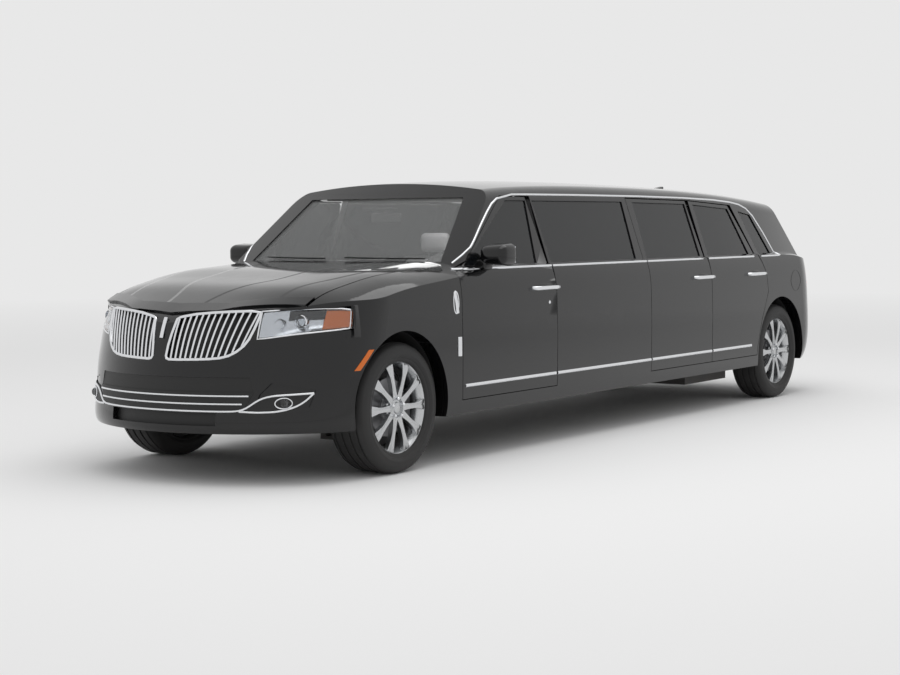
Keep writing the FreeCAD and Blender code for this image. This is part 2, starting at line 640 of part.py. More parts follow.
def wheel_place(body, axle_x, side):
    """Stand a wheel up: its own Z becomes the axle, pointing out of the car."""
    body.Placement = Placement(Vector(), Rotation(Vector(0, 0, 1), Vector(0, side, 0)))
    bound(body, Placement__Base__x=axle_x, Placement__Base__y=f"{side} * {HALF_TRACK}",
          Placement__Base__z="sizes.tyre_radius")


def make_tyre(name, axle_x, side):
    body = new_body(name)
    half = "sizes.tyre_width / 2"
    right = [
        (f"{BEAD} + sizes.seat_clearance", RIM_HALF - 1), (f"{FLANGE} + 2", RIM_HALF - 1),
        (f"{FLANGE} + 32", half), ("sizes.tyre_radius - 23", f"{half} - 5"),
        ("sizes.tyre_radius", f"{half} - 35")]
    left = [(radius, f"-({across})") for radius, across in reversed(right)]
    revolved(body, name + "_ring", right + left)
    wheel_place(body, axle_x, side)


def make_rim(name, axle_x, side):
    body = new_body(name)
    lip = RIM_HALF + FLANGE_WALL
    revolved(body, name + "_barrel", [
        (f"{BEAD} - 12", -RIM_HALF), (BEAD, -RIM_HALF), (BEAD, RIM_HALF), (FLANGE, RIM_HALF), (FLANGE, lip),
        (f"{FLANGE} - 18", lip), (f"{BEAD} - 8", RIM_HALF - 4), (f"{BEAD} - 12", RIM_HALF - 14)])
    revolved(body, name + "_hub", [
        ("sizes.hub_radius", -20), ("sizes.disc_radius", -20), ("sizes.disc_radius", 6), (92, 6), (92, 34),
        (92, 78), (60, 84), (34, 84), (34, 92), (0, 92), (0, 50), ("sizes.hub_radius", 50)])
    outline = sketch(body, name + "_spoke_outline", "XZ_Plane", [
        (70, 52), (70, 84), (120, 92), (f"{BEAD} - 3", 98), (f"{BEAD} - 3", 76), (120, 62)])
    spoke = body.newObject("PartDesign::Pad", name + "_spoke")
    spoke.Profile, spoke.Midplane, spoke.Length = outline, True, 30
    doc.recompute()
    spokes = body.newObject("PartDesign::PolarPattern", name + "_spokes")
    spokes.Originals = [spoke]
    spokes.Axis, spokes.Angle = (origin_plane(body, "Z_Axis"), [""]), 360
    bound(spokes, Occurrences="sizes.spoke_count")
    body.Tip = spokes
    wheel_place(body, axle_x, side)


for axle, axle_x in AXLES:
    for side_name, side in SIDES:
        make_tyre(f"{axle}_tyre_{side_name}", axle_x, side)
        make_rim(f"{axle}_wheel_{side_name}", axle_x, side)

# ---------------------------------------------------------------- steering knuckles and suspension
KINGPIN_Y = "(sizes.wheel_face - 195)"
ARM_RISE, ARM_GAP, ARM_THICK = 175, 186, 20
SPINDLE = "sizes.hub_radius - 0.05"
for side_name, side in SIDES:
    low_y = KINGPIN_Y + " - 30" if side > 0 else f"-{KINGPIN_Y} - 30"
    fused(f"knuckle_{side_name}", [
        box(f"upright_{side_name}", f"{FRONT_AXLE_X} - 32", low_y, f"sizes.tyre_radius - {ARM_RISE - 12}",
            64, 50, 2 * ARM_RISE - 24),
        rod(f"carrier_{side_name}", FRONT_AXLE_X, f"{side} * ({KINGPIN_Y} - 35)", "sizes.tyre_radius", 62, 62,
            (0, side, 0)),
        rod(f"spindle_{side_name}", FRONT_AXLE_X, f"{side} * ({KINGPIN_Y} + 15)", "sizes.tyre_radius", SPINDLE,
            f"{HALF_TRACK} - {KINGPIN_Y} + 34", (0, side, 0)),
        rod(f"low_pin_{side_name}", FRONT_AXLE_X, f"{side} * {KINGPIN_Y}", f"sizes.tyre_radius - {ARM_GAP} + 0.3",
            14, ARM_GAP - ARM_RISE + 13),
        rod(f"high_pin_{side_name}", FRONT_AXLE_X, f"{side} * {KINGPIN_Y}", f"sizes.tyre_radius + {ARM_RISE - 13}",
            14, ARM_GAP - ARM_RISE + 13 - 0.3),
    ])

RAIL_LOW, RAIL_HIGH, RAIL_IN, RAIL_OUT = 420, 520, 345, 415
subframe = [box("front_subframe", f"{FRONT_AXLE_X} - 190", -RAIL_OUT, 250, 380, 2 * RAIL_OUT, 60)]
towers = []
for side_name, side in SIDES:
    low_start = RAIL_OUT - 40
    low_y = low_start if side > 0 else f"-({KINGPIN_Y} + 20)"
    subframe.append(box(f"lower_arm_{side_name}", f"{FRONT_AXLE_X} - 28", low_y,
                        f"sizes.tyre_radius - {ARM_GAP + ARM_THICK}", 56, f"{KINGPIN_Y} + 20 - {low_start}", ARM_THICK))
    subframe.append(box(f"arm_post_{side_name}", f"{FRONT_AXLE_X} - 28", low_start if side > 0 else -RAIL_OUT,
                        f"sizes.tyre_radius - {ARM_GAP + ARM_THICK}", 56, 40, 90))
    subframe.append(box(f"rail_post_{side_name}", f"{FRONT_AXLE_X} + 120", RAIL_IN if side > 0 else -RAIL_OUT,
                        300, 60, RAIL_OUT - RAIL_IN, RAIL_LOW - 300 - 0.3))
    towers.append(fused(f"tower_{side_name}", [
        box(f"upper_arm_{side_name}", f"{FRONT_AXLE_X} - 28", RAIL_IN if side > 0 else f"-({KINGPIN_Y} + 20)",
            f"sizes.tyre_radius + {ARM_GAP}", 56, f"{KINGPIN_Y} + 20 - {RAIL_IN}", ARM_THICK),
        box(f"arm_foot_{side_name}", f"{FRONT_AXLE_X} - 28", RAIL_IN if side > 0 else -RAIL_OUT,
            RAIL_HIGH + 0.3, 56, RAIL_OUT - RAIL_IN, 50)]))
    nodes.pop(f"tower_{side_name}")
lower = fused("front_lower", subframe)
nodes.pop("front_lower")
compound("front_suspension", [lower] + towers)

rear_parts = [
    box("rear_beam", f"{REAR_AXLE_X} - 45", -620, "sizes.tyre_radius - 45", 90, 1240, 90),
    box("rear_subframe", f"{REAR_AXLE_X} - 260", -420, "sizes.tyre_radius + 10", 520, 840,
        "480 - 0.3 - sizes.tyre_radius - 10"),
]
for side_name, side in SIDES:
    rear_parts.append(rod(f"rear_spindle_{side_name}", REAR_AXLE_X, f"{side} * 600", "sizes.tyre_radius",
                          SPINDLE, f"{HALF_TRACK} + 34 - 600", (0, side, 0)))
    rear_parts.append(rod(f"rear_carrier_{side_name}", REAR_AXLE_X, f"{side} * 600", "sizes.tyre_radius",
                          75, 155, (0, side, 0)))
fused("rear_suspension", rear_parts)

# ---------------------------------------------------------------- underbody
FLOOR_LOW = FLOOR - size["floor_thickness"]
FIREWALL = FRONT_DOOR_EDGE - 100
REAR_STEP = REAR_AXLE + ARCH + 60
REAR_FLOOR = 520.0
within_walls = hull(WALL + CLEAR)
pan = block(REAR_STEP, FIREWALL, -FAR, FAR, FLOOR_LOW, FLOOR)
pan = pan.fuse(block(REAR_STEP, REAR_STEP + 40, -FAR, FAR, FLOOR_LOW, REAR_FLOOR))
pan = pan.fuse(block(TAIL + 120, REAR_STEP + 40, -FAR, FAR, REAR_FLOOR - 40, REAR_FLOOR))
pan = pan.fuse(block(FIREWALL - 40, FIREWALL, -FAR, FAR, FLOOR_LOW, 1100))
pan = pan.common(within_walls)
LINER = 12.0
liner_holes = [Part.makeCylinder(ARCH + LINER + CLEAR, 2 * FAR, Vector(x, -FAR, TYRE_RADIUS + 5), Vector(0, 1, 0))
               for x in (FRONT_AXLE, REAR_AXLE)]
REAR_HOUSE, FRONT_HOUSE = 640.0, 470.0
for hole, house in zip(liner_holes, (FRONT_HOUSE, REAR_HOUSE)):
    side_part = hole.common(block(-FAR, FAR, house - LINER - CLEAR, FAR, -1000, 2000))
    pan = pan.cut(both(side_part))
for side in (1, -1):
    middle = side * (RAIL_IN + RAIL_OUT) / 2
    pan = pan.fuse(block(FIREWALL - 1, NOSE - 300, middle - 35, middle + 35, RAIL_LOW, RAIL_HIGH))
pan = pan.fuse(block(NOSE - 330, NOSE - 290, -540, 540, 330, 780)).common(within_walls)
keep("underbody", pan)

houses = []
for x, house in ((FRONT_AXLE, FRONT_HOUSE), (REAR_AXLE, REAR_HOUSE)):
    drum = Part.makeCylinder(ARCH + LINER, FAR, Vector(x, house - LINER, TYRE_RADIUS + 5), Vector(0, 1, 0))
    room = Part.makeCylinder(ARCH, FAR, Vector(x, house, TYRE_RADIUS + 5), Vector(0, 1, 0))
    liner = drum.cut(room).common(block(-FAR, FAR, 0, FAR, TYRE_RADIUS - 40, 2000)).common(within_walls)
    opening = Part.makeCylinder(245, 100, Vector(x, house - 50, TYRE_RADIUS + 5), Vector(0, 1, 0))
    houses.append(liner.cut(opening))
keep("wheelhouses", Part.makeCompound([item for liner in houses for item in (liner, mirrored(liner))]))

compound("engine_block", [box("engine", f"{FRONT_AXLE_X} - 330", -RAIL_IN + 0.3, 430, 640, 2 * RAIL_IN - 0.6, 480)])
EXHAUST_Y, EXHAUST_Z = -300, FLOOR_LOW - 48 - CLEAR
fused("exhaust", [
    rod("exhaust_pipe", "-2350", EXHAUST_Y, EXHAUST_Z, 32, 4150, (1, 0, 0)),
    rod("silencer", "-600", EXHAUST_Y, EXHAUST_Z, 48, 700, (1, 0, 0)),
])
compound("fuel_tank", [box("tank", -2050, 120, f"{FLOOR_LOW} - 100.3", 700, 620, 100)])

# ---------------------------------------------------------------- cabin
dash = new_body("dashboard")
dash_outline = sketch(dash, "dash_outline", "XZ_Plane", [
    (FIREWALL - 315, 760), (FIREWALL - 355, 980), (FIREWALL - 315, 1050), (FIREWALL - 85, 1090),
    (FIREWALL - 40.3, 1060), (FIREWALL - 40.3, 700), (FIREWALL - 235, 700)])
dash_pad = dash.newObject("PartDesign::Pad", "dash_pad")
dash_pad.Profile, dash_pad.Midplane, dash_pad.Length = dash_outline, True, 1560

COLUMN_LENGTH = 303.9
column = rod("column", 1250, "sizes.seat_pitch / 2", 930, 22, COLUMN_LENGTH, (0.94, 0, -0.34))
wheel_ring = doc.addObject("Part::Torus", "wheel_ring")
wheel_ring.Radius1, wheel_ring.Radius2 = 185, 16
wheel_ring.Placement = Placement(Vector(), Rotation(Vector(0, 0, 1), Vector(0.94, 0, -0.34)))
bound(wheel_ring, Placement__Base__x="1250", Placement__Base__y="sizes.seat_pitch / 2", Placement__Base__z="930")
wheel_bar = box("wheel_bar", 1240, "sizes.seat_pitch / 2 - 180", 915, 20, 360, 40)
fused("steering_wheel", [wheel_ring, column, wheel_bar])

seat_parts = []
for side_name, side in SIDES:
    middle = f"{side} * sizes.seat_pitch / 2"
    seat_parts.append(fused(f"seat_{side_name}", [
        box(f"seat_base_{side_name}", "sizes.front_seat_place - 220", f"{middle} - 200", f"{FLOOR} + 0.3", 440, 400,
            f"sizes.seat_cushion_height - 140 - {FLOOR}"),
        box(f"cushion_{side_name}", "sizes.front_seat_place - 260", f"{middle} - sizes.seat_width / 2",
            "sizes.seat_cushion_height - 150", 540, "sizes.seat_width", 150),
        box(f"back_{side_name}", "sizes.front_seat_place - 370", f"{middle} - sizes.seat_width / 2 + 20",
            "sizes.seat_cushion_height - 120", 130, "sizes.seat_width - 40",
            "sizes.seat_back_height - sizes.seat_cushion_height + 120"),
        box(f"headrest_{side_name}", "sizes.front_seat_place - 360", f"{middle} - 130",
            "sizes.seat_back_height - 1", 90, 260, 170)]))
    nodes.pop(f"seat_{side_name}")
compound("front_seats", seat_parts)

BENCH_HALF = 760
bench_parts = []
for label, place in (("second_row", -1000), ("third_row", -1940)):
    bench_parts.append(fused(label, [
        box(f"{label}_cushion", place, -BENCH_HALF, f"{FLOOR} + 0.3", 520, 2 * BENCH_HALF,
            f"sizes.seat_cushion_height - {FLOOR}"),
        box(f"{label}_back", place - 130, -BENCH_HALF, f"{FLOOR} + 0.3", 131, 2 * BENCH_HALF,
            f"sizes.seat_back_height - {FLOOR}")]))
    nodes.pop(label)
compound("lounge_seats", bench_parts)
compound("lounge_cabinets", [
    box("bar_cabinet", -330, -840, f"{FLOOR} + 0.3", 340, 380, 620),
    box("divider", "sizes.partition_place", -720, f"{FLOOR} + 0.3", 30, 1440, 760)])

# ---------------------------------------------------------------- check and write
doc.recompute()
for item in doc.Objects:
    if {"Invalid", "Error"} & set(item.State):
        raise RuntimeError(f"{item.Name}: {item.State}")
for name, feature in nodes.items():
    shape = feature.Shape
    if shape.isNull() or not shape.isValid():
        raise RuntimeError(f"{name}: bad shape")
    print(f"{name}: {len(shape.Solids)} solids, {shape.Volume / 1e6:.2f} l")
    shape.exportStep(f"parts/{name}.step")
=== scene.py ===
"""A black stretch limousine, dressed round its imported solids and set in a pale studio."""
import math

import bmesh
import bpy
import numpy as np
from mathutils import Matrix, Vector
from mathutils.bvhtree import BVHTree


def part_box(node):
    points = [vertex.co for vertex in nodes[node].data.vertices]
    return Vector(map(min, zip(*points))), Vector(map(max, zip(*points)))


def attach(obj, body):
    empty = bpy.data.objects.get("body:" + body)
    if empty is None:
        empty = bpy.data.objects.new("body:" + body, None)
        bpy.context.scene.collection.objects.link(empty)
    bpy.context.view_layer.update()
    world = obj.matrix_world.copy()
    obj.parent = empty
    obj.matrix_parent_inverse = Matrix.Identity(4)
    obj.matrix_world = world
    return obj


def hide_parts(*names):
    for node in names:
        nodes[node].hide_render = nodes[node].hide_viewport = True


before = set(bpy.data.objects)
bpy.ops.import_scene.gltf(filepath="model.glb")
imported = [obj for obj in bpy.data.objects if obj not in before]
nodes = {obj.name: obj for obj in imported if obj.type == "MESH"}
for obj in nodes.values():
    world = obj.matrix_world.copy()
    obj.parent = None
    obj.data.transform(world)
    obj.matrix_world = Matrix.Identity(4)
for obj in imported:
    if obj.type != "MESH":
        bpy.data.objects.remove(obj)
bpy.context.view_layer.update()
for item in bpy.context.selected_objects:
    item.select_set(False)

# ---------------------------------------------------------------- camera
# A long lens at chest height, ahead of the car's left front corner.
CAMERA_PLACE = Vector((10.752, 6.827, 1.401))
CAMERA_YAW, CAMERA_PITCH, CAMERA_ROLL = math.radians(214.16), math.radians(-3.548), -0.0079
LENS_MM, SENSOR_MM = 71.86, 36.0
FRAME_WIDTH, FRAME_DROP = 900, 1.18
FAR_CLIP = 200

looking = Vector((math.cos(CAMERA_PITCH) * math.cos(CAMERA_YAW),
                  math.cos(CAMERA_PITCH) * math.sin(CAMERA_YAW), math.sin(CAMERA_PITCH)))
level_right = looking.cross(Vector((0, 0, 1))).normalized()
level_up = level_right.cross(looking)
right = level_right * math.cos(CAMERA_ROLL) + level_up * math.sin(CAMERA_ROLL)
up = level_up * math.cos(CAMERA_ROLL) - level_right * math.sin(CAMERA_ROLL)
lens = bpy.data.cameras.new("camera")
lens.lens, lens.sensor_width, lens.sensor_fit = LENS_MM, SENSOR_MM, "HORIZONTAL"
lens.shift_y = -FRAME_DROP / FRAME_WIDTH
lens.clip_end = FAR_CLIP
camera = bpy.data.objects.new("camera", lens)
camera.matrix_world = Matrix.Translation(CAMERA_PLACE) @ Matrix((right, up, -looking)).transposed().to_4x4()
bpy.context.scene.collection.objects.link(camera)
bpy.context.scene.camera = camera
bpy.context.scene.view_settings.view_transform = "Standard"


# ---------------------------------------------------------------- studio
# A white cove: a pale dome that lights the car, a soft box overhead, and a pale floor that fades into
# the background.
BACKDROP = (0.807, 0.807, 0.807, 1)
DOME_LOW, DOME_HIGH, DOME_STRENGTH = 0.62, 1.0, 0.9
HORIZON, ZENITH = 0.0, 0.8
FLOOR_SIZE, FLOOR_TONE, FLOOR_ROUGHNESS = 160, (0.86, 0.86, 0.86, 1), 0.9
COVE_NEAR, COVE_FAR = 9.0, 24.0
SOFT_BOX = {"place": (0.5, 1.5, 6.5), "size": (9.0, 4.0), "watts": 130}


def node(tree, kind, inputs=None, **attributes):
    """A shader node. Inputs map a socket's name or number to its value, or to the socket that feeds it."""
    made = tree.nodes.new("ShaderNode" + kind)
    for key, value in attributes.items():
        setattr(made, key, value)
    for key, value in (inputs or {}).items():
        if isinstance(value, bpy.types.NodeSocket):
            tree.links.new(value, made.inputs[key])
        else:
            made.inputs[key].default_value = value
    return made


def seen_rays(tree):
    """One for rays that come from the camera, a mirror surface or a clear one, else nought."""
    rays = node(tree, "LightPath")
    total = rays.outputs["Is Camera Ray"]
    for kind in ("Is Glossy Ray", "Is Transmission Ray"):
        total = node(tree, "Math", {0: total, 1: rays.outputs[kind]}, operation="MAXIMUM").outputs[0]
    return total


def soft_light(name, place, size, watts):
    """A rectangular lamp that shines straight down."""
    data = bpy.data.lights.new(name, "AREA")
    data.shape, data.size, data.size_y, data.energy = "RECTANGLE", *size, watts
    lamp = bpy.data.objects.new(name, data)
    lamp.location = place
    bpy.context.scene.collection.objects.link(lamp)


world = bpy.data.worlds.new("studio")
bpy.context.scene.world = world
world.use_nodes = True
tree = world.node_tree
tree.nodes.clear()
split = node(tree, "SeparateXYZ", {0: node(tree, "TexCoord").outputs["Generated"]})
ramp = node(tree, "ValToRGB", {"Fac": split.outputs["Z"]})
for element, position, tone in zip(ramp.color_ramp.elements, (HORIZON, ZENITH), (DOME_LOW, DOME_HIGH)):
    element.position, element.color = position, (tone, tone, tone, 1)
dome = node(tree, "Background", {"Color": ramp.outputs["Color"], "Strength": DOME_STRENGTH})
seen = node(tree, "Background", {"Color": BACKDROP})
mix = node(tree, "MixShader", {0: seen_rays(tree), 1: dome.outputs[0], 2: seen.outputs[0]})
node(tree, "OutputWorld", {"Surface": mix.outputs[0]})

bpy.ops.mesh.primitive_plane_add(size=FLOOR_SIZE, location=(0, 0, 0))
floor = bpy.context.object
floor.name = "floor"
floor_finish = bpy.data.materials.new("floor")
floor_finish.use_nodes = True
tree = floor_finish.node_tree
shader = tree.nodes["Principled BSDF"]
shader.inputs["Base Color"].default_value = FLOOR_TONE
shader.inputs["Roughness"].default_value = FLOOR_ROUGHNESS
shader.inputs["Specular IOR Level"].default_value = 0.0
# Far from the car the floor turns into the backdrop's own even tone.
reach = node(tree, "VectorMath", {0: node(tree, "TexCoord").outputs["Object"]}, operation="LENGTH")
fade = node(tree, "MapRange", {"Value": reach.outputs["Value"], "From Min": COVE_NEAR, "From Max": COVE_FAR})
shown = node(tree, "Math", {0: fade.outputs["Result"], 1: seen_rays(tree)}, operation="MULTIPLY")
glow = node(tree, "Emission", {"Color": BACKDROP})
blend = node(tree, "MixShader", {0: shown.outputs[0], 1: shader.outputs[0], 2: glow.outputs[0]})
tree.links.new(blend.outputs[0], tree.nodes["Material Output"].inputs["Surface"])
floor.data.materials.append(floor_finish)
soft_light("soft_box", **SOFT_BOX)


# ---------------------------------------------------------------- painted body
# Steel panels in black lacquer, polished, with a trace of orange peel and road dust low down. The
# panels are the solids themselves, and their edges catch the light as rolled sheet does.
DUST = (0.23, 0.21, 0.19, 1)
BEVEL_SAMPLES = 3
CLOUD_SCALE, CLOUD_DETAIL, SKIN_DETAIL = 7.0, 6.0, 3.0
SIDES = {"left": 1, "right": -1}
ROWS = ("front", "middle", "rear")


def new_group(name, inputs, outputs):
    """An empty shader node group with named number inputs, at their default values, and named outputs."""
    group = bpy.data.node_groups.new(name, "ShaderNodeTree")
    for label, value in inputs.items():
        socket = group.interface.new_socket(name=label, in_out="INPUT", socket_type="NodeSocketFloat")
        socket.default_value = value
    for label, kind in outputs.items():
        group.interface.new_socket(name=label, in_out="OUTPUT", socket_type=kind)
    return group, group.nodes.new("NodeGroupInput").outputs, group.nodes.new("NodeGroupOutput").inputs


# Fine surface: a noise that shakes the normal a little, with edges rounded by a given radius.
skin_group, given, gives = new_group("fine_skin", {"Scale": 60.0, "Height": 0.002, "Edge": 0.003},
                                     {"Normal": "NodeSocketVector", "Cloud": "NodeSocketFloat"})
noise = node(skin_group, "TexNoise", {"Vector": node(skin_group, "TexCoord").outputs["Object"],
                                      "Scale": given["Scale"], "Detail": SKIN_DETAIL})
edge = node(skin_group, "Bevel", {"Radius": given["Edge"]}, samples=BEVEL_SAMPLES)
bump = node(skin_group, "Bump", {"Strength": 1.0, "Normal": edge.outputs["Normal"], "Distance": given["Height"],
                                 "Height": noise.outputs["Fac"]})
skin_group.links.new(bump.outputs["Normal"], gives["Normal"])
skin_group.links.new(noise.outputs["Fac"], gives["Cloud"])

# Road dust: more of it near the ground, broken up by a coarse cloud.
dust_group, given, gives = new_group("road_dust", {"Top": 0.7, "Amount": 0.3}, {"Mask": "NodeSocketFloat"})
place = node(dust_group, "TexCoord").outputs["Object"]
height = node(dust_group, "MapRange", {"Value": node(dust_group, "SeparateXYZ", {0: place}).outputs["Z"],
                                       "From Max": given["Top"], "To Min": 1.0, "To Max": 0.0})
cloud = node(dust_group, "TexNoise", {"Vector": place, "Scale": CLOUD_SCALE, "Detail": CLOUD_DETAIL})
broken = node(dust_group, "Math", {0: height.outputs["Result"], 1: cloud.outputs["Fac"]}, operation="MULTIPLY")
amount = node(dust_group, "Math", {0: broken.outputs[0], 1: given["Amount"]}, operation="MULTIPLY",
              use_clamp=True)
dust_group.links.new(amount.outputs[0], gives["Mask"])


def finish(name, color, roughness, metallic=0.0, skin=(60.0, 0.0004, 0.002), dust=(0.7, 0.0), vary=0.1,
           **sockets):
    """A material: base colour with dust over it, roughness that varies with a cloud, and a fine skin.
    skin is (noise scale, height, edge radius); dust is (height that it reaches, amount)."""
    material = bpy.data.materials.new(name)
    material.use_nodes = True
    tree = material.node_tree
    shader = tree.nodes["Principled BSDF"]
    for key, value in sockets.items():
        shader.inputs[key.replace("_", " ")].default_value = value
    shader.inputs["Metallic"].default_value = metallic
    surface = node(tree, "Group", node_tree=skin_group)
    for label, value in zip(("Scale", "Height", "Edge"), skin):
        surface.inputs[label].default_value = value
    tree.links.new(surface.outputs["Normal"], shader.inputs["Normal"])
    spread = node(tree, "MapRange", {"Value": surface.outputs["Cloud"],
                                     "To Min": max(0.0, roughness * (1 - vary)),
                                     "To Max": min(1.0, roughness * (1 + vary))})
    if not dust[1]:
        shader.inputs["Base Color"].default_value = (*color, 1)
        tree.links.new(spread.outputs["Result"], shader.inputs["Roughness"])
        return material
    mask = node(tree, "Group", {"Top": dust[0], "Amount": dust[1]}, node_tree=dust_group).outputs["Mask"]
    tint = node(tree, "Mix", {"Factor": mask, 6: (*color, 1), 7: DUST}, data_type="RGBA")
    dull = node(tree, "Math", {0: spread.outputs["Result"], 1: mask}, operation="ADD", use_clamp=True)
    tree.links.new(tint.outputs[2], shader.inputs["Base Color"])
    tree.links.new(dull.outputs[0], shader.inputs["Roughness"])
    return material


def dress(material, *names):
    """Puts a material on CAD nodes that keep their own solids."""
    for name in names:
        nodes[name].data.materials.clear()
        nodes[name].data.materials.append(material)


paint = finish("paint", (0.003, 0.003, 0.0035), 0.07, skin=(900.0, 0.00002, 0.0025), dust=(0.62, 0.05),
               IOR=1.38, Coat_Weight=0.35, Coat_Roughness=0.03)
PAINTED = ["body_frame", "quarter_panels", "front_fenders", "roof_panel", "rear_bumper", "tailgate",
           "front_bumper"]
PAINTED += [f"{row}_door_{side}" for row in ROWS for side in SIDES]
dress(paint, *PAINTED)


# ---------------------------------------------------------------- hood
# The same lacquer on a pressed steel panel with two creases on each side, which run from the base of
# the windscreen towards the nose and meet there. The creases are drawn as height over the panel.
HOOD_REAR, HOOD_FRONT = 2.10, 3.42
INNER_CREASE = ((2.10, 0.372), (2.405, 0.324), (2.712, 0.283), (2.88, 0.265), (3.043, 0.208), (3.222, 0.145),
                (3.42, 0.120))
OUTER_CREASE = ((2.10, 0.790), (2.241, 0.739), (2.388, 0.702), (2.688, 0.642), (2.973, 0.566), (3.222, 0.545),
                (3.42, 0.540))
CREASE_STEP, CREASE_IN, CREASE_OUT = 0.012, -0.005, 0.020
hood_paint = paint.copy()
hood_paint.name = "hood_paint"
tree = hood_paint.node_tree
split = node(tree, "SeparateXYZ", {0: node(tree, "TexCoord").outputs["Object"]})
ahead = node(tree, "MapRange", {"Value": split.outputs["X"], "From Min": HOOD_REAR, "From Max": HOOD_FRONT})
aside = node(tree, "Math", {0: split.outputs["Y"]}, operation="ABSOLUTE")
raised = []
for crease in (INNER_CREASE, OUTER_CREASE):
    line = node(tree, "FloatCurve", {"Value": ahead.outputs["Result"]})
    points = line.mapping.curves[0].points
    places = [((x - HOOD_REAR) / (HOOD_FRONT - HOOD_REAR), y) for x, y in crease]
    points[0].location, points[1].location = places[0], places[-1]
    for spot in places[1:-1]:
        points.new(*spot)
    line.mapping.update()
    beyond = node(tree, "Math", {0: aside.outputs[0], 1: line.outputs[0]}, operation="SUBTRACT")
    bank = node(tree, "MapRange", {"Value": beyond.outputs[0], "From Min": CREASE_IN, "From Max": CREASE_OUT,
                                   "To Min": 1.0, "To Max": 0.0}, interpolation_type="SMOOTHSTEP")
    raised.append(bank.outputs["Result"])
surface = next(item for item in tree.nodes if item.type == "GROUP" and item.node_tree == skin_group)
both = node(tree, "Math", {0: raised[0], 1: raised[1]}, operation="ADD")
press = node(tree, "Bump", {"Strength": 1.0, "Distance": CREASE_STEP, "Height": both.outputs[0],
                            "Normal": surface.outputs["Normal"]})
tree.links.new(press.outputs["Normal"], tree.nodes["Principled BSDF"].inputs["Normal"])
dress(hood_paint, "hood")


# ---------------------------------------------------------------- bright mouldings on the side
# Chromed rods of round section, half sunk in the panels: the window surround, the belt line, the
# strip low on the doors, and two small upright ornaments on each front wing.
MERGE, SPIN_MERGE = 0.0001, 0.00005
MOULDING_ANGLE, PATCH_ANGLE, PANEL_ANGLE = math.radians(50), math.radians(40), math.radians(25)
PANEL_EDGE, MIRROR_LOW_EDGE, MIRROR_SPAN = 0.9665, 0.905, (1.69, 1.92, 1.1385)
FAR_SIDE, CABIN_SIDE = 1.6, 0.55


def settle(piece, body, slot, material, *replaced):
    """A finished piece: placed in its mesh, given its finish, and fixed to its body."""
    bpy.ops.object.select_all(action="DESELECT")
    piece.select_set(True)
    bpy.context.view_layer.objects.active = piece
    bpy.ops.object.transform_apply(location=True, rotation=True, scale=True)
    piece.data.materials.clear()
    piece.data.materials.append(material)
    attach(piece, body)
    if replaced:
        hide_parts(*replaced)
    piece.select_set(False)
    return piece


def named(name):
    """The object just made, with its name."""
    piece = bpy.context.object
    piece.name = piece.data.name = name
    return piece


def chain(name, points, closed=False):
    """A line of edges drawn through points by extruding one vertex; left in edit mode, all selected."""
    points = [Vector(point) for point in points]
    bpy.ops.mesh.primitive_plane_add(size=0.01, location=points[0])
    line = named(name)
    bpy.ops.object.transform_apply(location=True)
    bpy.ops.object.mode_set(mode="EDIT")
    bpy.ops.mesh.select_all(action="SELECT")
    bpy.ops.mesh.merge(type="CENTER")
    for before, after in zip(points, points[1:]):
        bpy.ops.mesh.extrude_vertices_move(TRANSFORM_OT_translate={"value": after - before})
    if closed:
        bm = bmesh.from_edit_mesh(line.data)
        for vert in bm.verts:
            vert.select_set(len(vert.link_edges) == 1)
        bm.select_flush_mode()
        bpy.ops.mesh.edge_face_add()
    bpy.ops.mesh.select_all(action="SELECT")
    return line


def welded_out(threshold):
    """Merges doubles of the piece in edit mode and turns its faces outwards."""
    bpy.ops.mesh.select_all(action="SELECT")
    bpy.ops.mesh.remove_doubles(threshold=threshold)
    bpy.ops.mesh.normals_make_consistent(inside=False)
    bpy.ops.object.mode_set(mode="OBJECT")


def moulding(name, points, radius, closed=False, sides=3):
    """A rod of round section along points, with closed ends."""
    rod = chain(name, points, closed)
    bpy.ops.object.mode_set(mode="OBJECT")
    bpy.ops.object.convert(target="CURVE")
    rod.data.bevel_depth, rod.data.bevel_resolution, rod.data.use_fill_caps = radius, sides, not closed
    bpy.ops.object.convert(target="MESH")
    rod = named(name)
    bpy.ops.object.mode_set(mode="EDIT")
    welded_out(MERGE)
    bpy.ops.object.shade_smooth_by_angle(angle=MOULDING_ANGLE)
    return rod


def is_mirror(at):
    """Whether a point belongs to the plain mirror block on a front door."""
    rear, front, low = MIRROR_SPAN
    return abs(at.y) > PANEL_EDGE or (abs(at.y) > MIRROR_LOW_EDGE and rear < at.x < front and at.z > low)


def tree_of(*names):
    """The named CAD solids as one set of triangles that a ray can meet, without the mirrors."""
    spots, faces = [], []
    for name in names:
        mesh = nodes[name].data
        faces += [[len(spots) + i for i in polygon.vertices] for polygon in mesh.polygons
                  if not is_mirror(polygon.center)]
        spots += [vert.co.copy() for vert in mesh.vertices]
    return BVHTree.FromPolygons(spots, faces)


outside = tree_of(*PAINTED)


def on_side(x, z, side, proud=0.0):
    """The point of the car's side at x and z, moved out by a little, or None above the panels."""
    hit = outside.ray_cast(Vector((x, side * FAR_SIDE, z)), Vector((0, -side, 0)))[0]
    return Vector((x, hit.y + proud * side, z)) if hit and hit.y * side > CABIN_SIDE else None


def along(points, side, proud, step=0.08):
    """Points of (x, z) filled in at an even step, and laid on the car's side."""
    laid = []
    for (x0, z0), (x1, z1) in zip(points, points[1:]):
        count = max(1, round(math.hypot(x1 - x0, z1 - z0) / step))
        laid += [on_side(x0 + (x1 - x0) * i / count, z0 + (z1 - z0) * i / count, side, proud)
                 for i in range(count)]
    laid.append(on_side(*points[-1], side, proud))
    return [point for point in laid if point]


